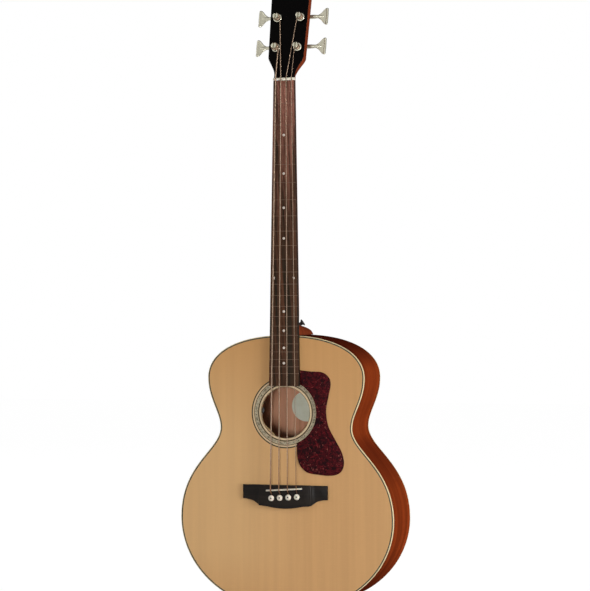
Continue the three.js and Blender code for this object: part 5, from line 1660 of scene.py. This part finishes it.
def label_mesh():
    """A paper disc on the inside of the back, leaning with it."""
    z = HOLE_Z + 7
    radius, offset = 30.0, 3.5
    lean = math.atan((TAIL_DEPTH - NECK_END_DEPTH) / BODY_LENGTH)
    fall = BACK_ARCH * ((radius + offset) / WAIST[0]) ** 2
    back = rim_depth(z) + BACK_ARCH - BACK_THICKNESS - fall - SEAT
    disc = turned([(0, -0.4), (radius - 0.1, -0.4), (radius, -0.3), (radius, 0), (0, 0)], 96)
    return moved(disc, at(offset, back, z) @ Matrix.Rotation(lean, 4, "X"))


def pillow(half, centre):
    """A cushion shape: a box with every side crowned."""
    fullness, rows, around, least = 5.0, 18, 48, 0.02
    loops = []
    for i in range(rows + 1):
        lift = math.sin(math.pi * (i / rows - 0.5))
        reach = (1 - abs(lift) ** fullness) ** (1 / fullness) if abs(lift) < 1 else least
        reach = max(reach, least)
        loop = []
        for j in range(around):
            angle = TAU * j / around
            across = math.copysign(abs(math.cos(angle)) ** (2 / fullness), math.cos(angle))
            along = math.copysign(abs(math.sin(angle)) ** (2 / fullness), math.sin(angle))
            loop.append((centre[0] + half[0] * reach * across, centre[1] + half[1] * reach * along,
                         centre[2] + half[2] * lift))
        loops.append(loop)
    return loft(loops)


def pouch_mesh():
    """The battery pouch: a soft bag, the flap over its top and the strap round it."""
    middle, (x, y, z) = node_box("battery_pouch")
    body = pillow((x * 0.97, y * 0.95, z * 0.98), middle)
    flap = pillow((x * 0.995, y * 0.995, z * 0.3), (middle.x, middle.y, middle.z + z * 0.66))
    strap = pillow((7, y, z * 0.75), middle)
    return moulded(joined(body, flap, strap), 0.9, 3)


# Settings that a user would change
SPRUCE = colour(198, 153, 103)[:3]
MAHOGANY = colour(150, 62, 27)[:3]
NECK_MAHOGANY = colour(134, 60, 34)[:3]
NICKEL = colour(194, 190, 170)[:3]


def tint(name, description, default):
    return bpy.props.FloatVectorProperty(
        name=name, description=description, subtype="COLOR", size=3, min=0.0, max=1.0,
        default=default)


def length(name, description, default):
    return bpy.props.FloatProperty(
        name=name, description=description, default=default * MM, min=0.0, unit="LENGTH",
        precision=5)


def power(name, description, default):
    return bpy.props.FloatProperty(
        name=name, description=description, default=default, min=0.0, unit="POWER")


def chosen_size(group, name):
    """A size from the settings."""
    return getattr(getattr(bpy.context.scene, group), name)


def chosen(group, name):
    """A colour from the settings, with its alpha."""
    return tuple(chosen_size(group, name)) + (1.0,)


class BodySettings(bpy.types.PropertyGroup):
    """Looks of the body."""
    spruce: tint("Spruce", "Colour of the soundboard", SPRUCE)
    mahogany: tint("Mahogany", "Colour of the back and sides", MAHOGANY)
    purfling: length("Purfling width", "Width of the dark line inside the binding", 2.4)


class NeckSettings(bpy.types.PropertyGroup):
    """Looks of the neck and fingerboard."""
    mahogany: tint("Mahogany", "Colour of the neck", NECK_MAHOGANY)
    line_width: length("Line width", "Width of the lines inlaid where frets would be", 0.6)
    dot_radius: length("Dot radius", "Radius of the position marks", 2.5)


class TunerSettings(bpy.types.PropertyGroup):
    """Looks of the tuners."""
    plating: tint("Plating", "Colour of the plated metal", NICKEL)


class StringSettings(bpy.types.PropertyGroup):
    """Looks of the strings."""
    winding: length("Winding pitch", "Distance from one turn of the wrap wire to the next", 0.45)


class StageSettings(bpy.types.PropertyGroup):
    """The studio round the instrument."""
    key: power("Key light", "Power of the lamp on the left", 28.0)
    front: power("Front light", "Power of the lamp beside the camera", 90.0)
    side: power("Side light", "Power of the lamp on the right", 148.0)
    back: power("Back light", "Power of the lamp behind the instrument", 30.0)
    sky: bpy.props.FloatProperty(
        name="Sky", description="Strength of the light from all round", default=0.17, min=0.0)
    floor: tint("Floor", "Colour of the floor", (0.4, 0.4, 0.4))


# Operators, one for each piece or group of like pieces
class Maker(bpy.types.Operator):
    """Base of the operators that make pieces."""
    bl_options = {"REGISTER", "UNDO"}

    def execute(self, context):
        self.make()
        return {"FINISHED"}


class BASS_OT_soundboard(Maker):
    """Make the soundboard, its rosette, its bindings and the purfling"""
    bl_idname = "bass.soundboard"
    bl_label = "Soundboard"

    def make(self):
        width = chosen_size("bass_body", "purfling") / MM
        piece("soundboard_plate", soundboard_mesh(width), spruce_top, "spruce", "soundboard")
        piece("rosette_rings", rosette_mesh(), rosette_inlay, "pearl", "rosette")
        piece("purfling_line", purfling_mesh(width), dark_purfling, "black_veneer", "soundboard")
        piece("binding_front", top_binding_mesh(), cream_binding, "cream", "top_binding")
        piece("binding_back", back_binding_mesh(), cream_binding, "cream", "back_binding")


class BASS_OT_back_and_sides(Maker):
    """Make the arched back and the two bent sides"""
    bl_idname = "bass.back_and_sides"
    bl_label = "Back and sides"

    def make(self):
        piece("back_plate", back_mesh(), mahogany_back, "mahogany", "back_panel")
        piece("side_left", side_mesh(False), mahogany_sides, "mahogany", "side_bass")
        piece("side_right", side_mesh(True), mahogany_sides, "mahogany", "side_treble")


class BASS_OT_pickguard(Maker):
    """Make the pickguard"""
    bl_idname = "bass.pickguard"
    bl_label = "Pickguard"

    def make(self):
        piece("pickguard_sheet", guard_mesh(), tortoise_guard, "tortoise", "pickguard")


class BASS_OT_bridge(Maker):
    """Make the bridge with its saddle and its pins"""
    bl_idname = "bass.bridge"
    bl_label = "Bridge"

    def make(self):
        piece("bridge_block", bridge_mesh(), bridge_ebony, "bridge_wood", "bridge")
        piece("saddle_bone", saddle_mesh(), bone_white, "bone", "saddle")
        for name, x in zip(STRINGS, saddle_places()):
            piece(f"pin_{name}", pin_mesh(x), bone_white, "cream", f"bridge_pin_{name}")
        top = BRIDGE_FACE - SEAT - PIN_HEAD[1]
        dot = turned([(0, -0.05), (1.4, -0.05), (1.5, 0.05), (1.5, 0.6), (0, 0.6)], 24)
        places = [(x, top, pin_place(x)) for x in saddle_places()]
        dots = repeated(dot, places, black_plastic, "pin_dots")
        piece("pin_dots", dots, black_plastic, "black_plastic")


class BASS_OT_neck(Maker):
    """Make the neck with its heel and headstock, the headstock's face and the nut"""
    bl_idname = "bass.neck"
    bl_label = "Neck"

    def make(self):
        piece("neck_wood", neck_mesh(), mahogany_neck, "mahogany", "neck")
        piece("headstock_face", veneer_mesh(), black_gloss, "black_veneer", "headstock_veneer")
        piece("nut_bone", softened(copy_of("nut"), 0.25, 2, 40), bone_white, "bone", "nut")


class BASS_OT_fingerboard(Maker):
    """Make the fretless fingerboard, its lines and its position marks"""
    bl_idname = "bass.fingerboard"
    bl_label = "Fingerboard"

    def make(self):
        piece("fingerboard_wood", board_mesh(), rosewood_board, "rosewood", "fingerboard")
        piece("fret_lines", lines_mesh(), line_veneer, "rosewood")
        piece("position_dots", dots_mesh(), dot_pearl, "pearl")


class BASS_OT_tuners(Maker):
    """Make the four worm-gear tuners"""
    bl_idname = "bass.tuners"
    bl_label = "Tuners"

    def make(self):
        for name in STRINGS:
            stand = tuner_frame(name)
            axle = stand @ at(0, GEAR_DEPTH, WORM_DISTANCE)
            post, key = f"post_{name}", f"key_{name}"
            bushing_node, plate_node = f"tuner_bushing_{name}", f"tuner_plate_{name}"
            post_node, key_node = f"tuner_post_{name}", f"tuner_key_{name}"
            for label, mesh, maker, slot, node, body in (
                    (f"bushing_{name}", bushing_mesh(), nickel_plate, "nickel", bushing_node, ROOT),
                    (post, post_mesh(), nickel_plate, "nickel", post_node, post),
                    (f"gear_{name}", gear_mesh(), brass_gear, "brass", post_node, post),
                    (f"plate_{name}", tuner_plate_mesh(), nickel_plate, "nickel", plate_node, ROOT)):
                piece(label, moved(mesh, stand), maker, slot, node, body=body)
            worm, wing = moved(worm_mesh(name), axle), moved(key_mesh(name), axle)
            piece(f"worm_{name}", worm, nickel_plate, "nickel", key_node, body=key)
            piece(f"{key}_wing", wing, nickel_plate, "nickel", key_node, body=key, angle=60)


class BASS_OT_strings(Maker):
    """Make the four wound strings"""
    bl_idname = "bass.strings"
    bl_label = "Strings"

    def make(self):
        for i, name in enumerate(STRINGS):
            wire = tube(string_path(i), STRING_RADII[i])
            piece(f"wound_string_{name}", wire, wound_bronze, "bronze", f"string_{name}")


class BASS_OT_fittings(Maker):
    """Make the strap button, the end jack, the controls, the label and the battery pouch"""
    bl_idname = "bass.fittings"
    bl_label = "Fittings"

    def make(self):
        box = softened(copy_of("control_housing"), 0.5, 3, 40)
        piece("button_strap", button_mesh(), black_plastic, "black_plastic", "strap_button")
        piece("jack_end", jack_mesh(), nickel_plate, "nickel", "end_jack")
        piece("control_box", box, black_plastic, "black_plastic", "control_housing")
        for kind in ("volume", "tone"):
            node = f"{kind}_wheel"
            piece(f"wheel_{kind}", wheel_mesh(node), black_plastic, "black_plastic", node,
                  body=f"{kind}_control")
        piece("label_paper", label_mesh(), paper_label, "paper", "label")
        piece("pouch_battery", pouch_mesh(), pouch_cloth, "fabric", "battery_pouch", angle=60)


class BASS_OT_inner_woods(Maker):
    """Give the solids inside the body their finishes"""
    bl_idname = "bass.inner_woods"
    bl_label = "Inner woods"

    def make(self):
        kept = {
            brace_spruce: (
                "top_lining_bass", "top_lining_treble", "back_lining_bass", "back_lining_treble",
                "x_brace_bass", "x_brace_treble", "face_brace", "tone_bar_upper",
                "tone_bar_lower"),
            bare_mahogany: ("neck_block", "tail_block", "bridge_plate"),
            steel_rod: ("truss_rod", "truss_rod_nut"),
            brass_gear: ("saddle_pickup",),
        }
        for maker, names in kept.items():
            for name in names:
                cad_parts[name].material_slots[0].material = finished(maker).material


class BASS_OT_stage(Maker):
    """Set the pale floor, the soft lamps and the camera"""
    bl_idname = "bass.stage"
    bl_label = "Stage"

    def make(self):
        settings = bpy.context.scene.bass_stage
        make_floor(settings)
        make_sky(settings)
        for name, (place, size) in LAMPS.items():
            make_lamp(f"lamp_{name}", getattr(settings, name), place, size)
        make_camera()


# Each lamp's place and the length of its side, in metres, and what the lamps face
LAMPS = {
    "key": ((-3.3, -2.3, 1.1), 2.0),
    "front": ((0.75, -4.4, -0.85), 0.7),
    "side": ((3.4, -1.2, -0.55), 1.6),
    "back": ((-2.6, 3.0, 2.0), 2.2),
}
LAMP_AIM = (0, 0, -0.45)
# How white the camera sees the floor, and how far it lies under the object and reaches
FLOOR_GLOW = 1.14
FLOOR_SHARE = 0.86
FLOOR_DROP = 0.6
FLOOR_REACH = 9000
# The photograph's view, in metres, radians and millimetres of lens
CAMERA_PLACE = (1.431035, -4.239072, -0.419098)
CAMERA_TURN = 0.3212388
CAMERA_TIP = 0.0014995
CAMERA_ROLL = -0.0040471
CAMERA_LENS = 142.065
CAMERA_SENSOR = 36.0


def make_floor(settings):
    """A wide pale floor. To the camera it is nearly white, and it keeps the object's shadow."""
    low = FRAME_BOX[0][2] / MM - FLOOR_DROP
    corners = ((-1, -1), (1, -1), (1, 1), (-1, 1))
    mesh = mesh_of([(FLOOR_REACH * x, FLOOR_REACH * y, low) for x, y in corners], [(0, 1, 2, 3)])
    ground = added("floor", mesh)
    made = Finish("floor_paper", Base_Color=tuple(settings.floor) + (1.0,), Roughness=0.9)
    rays = made.node("ShaderNodeLightPath").outputs
    seen = Value(made, rays["Is Camera Ray"]).most(Value(made, rays["Is Glossy Ray"]))
    glow = made.node("ShaderNodeEmission", {}, {"Color": WHITE, "Strength": FLOOR_GLOW})
    blend = made.node("ShaderNodeMixShader", {}, {
        0: seen * FLOOR_SHARE, 1: made.shader.outputs[0], 2: glow.outputs[0]})
    made.tree.links.new(blend.outputs[0], made.output.inputs["Surface"])
    mesh.materials.append(made.material)


def make_sky(settings):
    """Even light from all round. The camera sees it white, and gloss mirrors it in front only."""
    world = bpy.data.worlds.new("studio")
    bpy.context.scene.world = world
    world.use_nodes = True
    sky = Tree(world.node_tree)
    outputs = sky.node("ShaderNodeLightPath").outputs
    camera, clear, glossy = (Value(sky, outputs[f"Is {ray} Ray"])
                             for ray in ("Camera", "Transmission", "Glossy"))
    bright = sky.split(sky.coordinates("Generated"))[1].fitted(0.1, -0.6, 0.12, 1.0)
    strength = camera.most(clear).most(glossy * bright).fitted(0.0, 1.0, settings.sky, 1.0)
    ground = sky.node("ShaderNodeBackground", {}, {"Color": WHITE, "Strength": strength})
    sky.node("ShaderNodeOutputWorld", {}, {"Surface": ground.outputs[0]})


def make_lamp(name, strength, place, size):
    """A soft square lamp that faces the middle of the instrument."""
    light = bpy.data.lights.new(name, "AREA")
    light.energy = strength
    light.size = size
    lamp = added(name, light)
    lamp.location = place
    aim = Vector(LAMP_AIM) - Vector(place)
    lamp.rotation_euler = aim.to_track_quat("-Z", "Y").to_euler()


def make_camera():
    """The photograph's view: a long lens, a little to the treble side and almost level."""
    c, s = math.cos(CAMERA_TURN), math.sin(CAMERA_TURN)
    level, rise = math.cos(CAMERA_TIP), math.sin(CAMERA_TIP)
    ahead = Vector((-s * level, c * level, rise))
    right = Vector((c, s, 0))
    up = Vector((s * rise, -c * rise, level))
    across = math.cos(CAMERA_ROLL) * right + math.sin(CAMERA_ROLL) * up
    above = math.cos(CAMERA_ROLL) * up - math.sin(CAMERA_ROLL) * right
    lens = bpy.data.cameras.new("camera")
    lens.lens = CAMERA_LENS
    lens.sensor_width = CAMERA_SENSOR
    lens.clip_end = 100.0
    camera = added("camera", lens)
    turned_to = Matrix((across, above, -ahead)).transposed().to_4x4()
    camera.matrix_world = Matrix.Translation(CAMERA_PLACE) @ turned_to
    bpy.context.scene.camera = camera
    bpy.context.scene.view_settings.view_transform = "Standard"


class BASS_PT_panel(bpy.types.Panel):
    """Lists the bass guitar's settings and its operators"""
    bl_label = "Acoustic bass guitar"
    bl_idname = "BASS_PT_panel"
    bl_space_type = "VIEW_3D"
    bl_region_type = "UI"
    bl_category = "Bass guitar"

    def draw(self, context):
        layout = self.layout
        for group in SETTINGS:
            settings = getattr(context.scene, group)
            box = layout.box()
            for name in settings.bl_rna.properties.keys():
                if name not in ("rna_type", "name"):
                    box.prop(settings, name)
        for operator in OPERATORS:
            layout.operator(operator.bl_idname)


SETTINGS = {
    "bass_body": BodySettings, "bass_neck": NeckSettings, "bass_tuners": TunerSettings,
    "bass_strings": StringSettings, "bass_stage": StageSettings,
}
OPERATORS = (
    BASS_OT_stage, BASS_OT_soundboard, BASS_OT_back_and_sides, BASS_OT_pickguard, BASS_OT_bridge,
    BASS_OT_neck, BASS_OT_fingerboard, BASS_OT_tuners, BASS_OT_strings, BASS_OT_fittings,
    BASS_OT_inner_woods,
)


def register():
    for group, settings in SETTINGS.items():
        bpy.utils.register_class(settings)
        setattr(bpy.types.Scene, group, bpy.props.PointerProperty(type=settings))
    for operator in OPERATORS:
        bpy.utils.register_class(operator)
    bpy.utils.register_class(BASS_PT_panel)


def unregister():
    bpy.utils.unregister_class(BASS_PT_panel)
    for operator in reversed(OPERATORS):
        bpy.utils.unregister_class(operator)
    for group, settings in reversed(SETTINGS.items()):
        delattr(bpy.types.Scene, group)
        bpy.utils.unregister_class(settings)


def main():
    register()
    for operator in OPERATORS:
        group, name = operator.bl_idname.split(".")
        getattr(getattr(bpy.ops, group), name)()


if __name__ == "__main__":
    main()
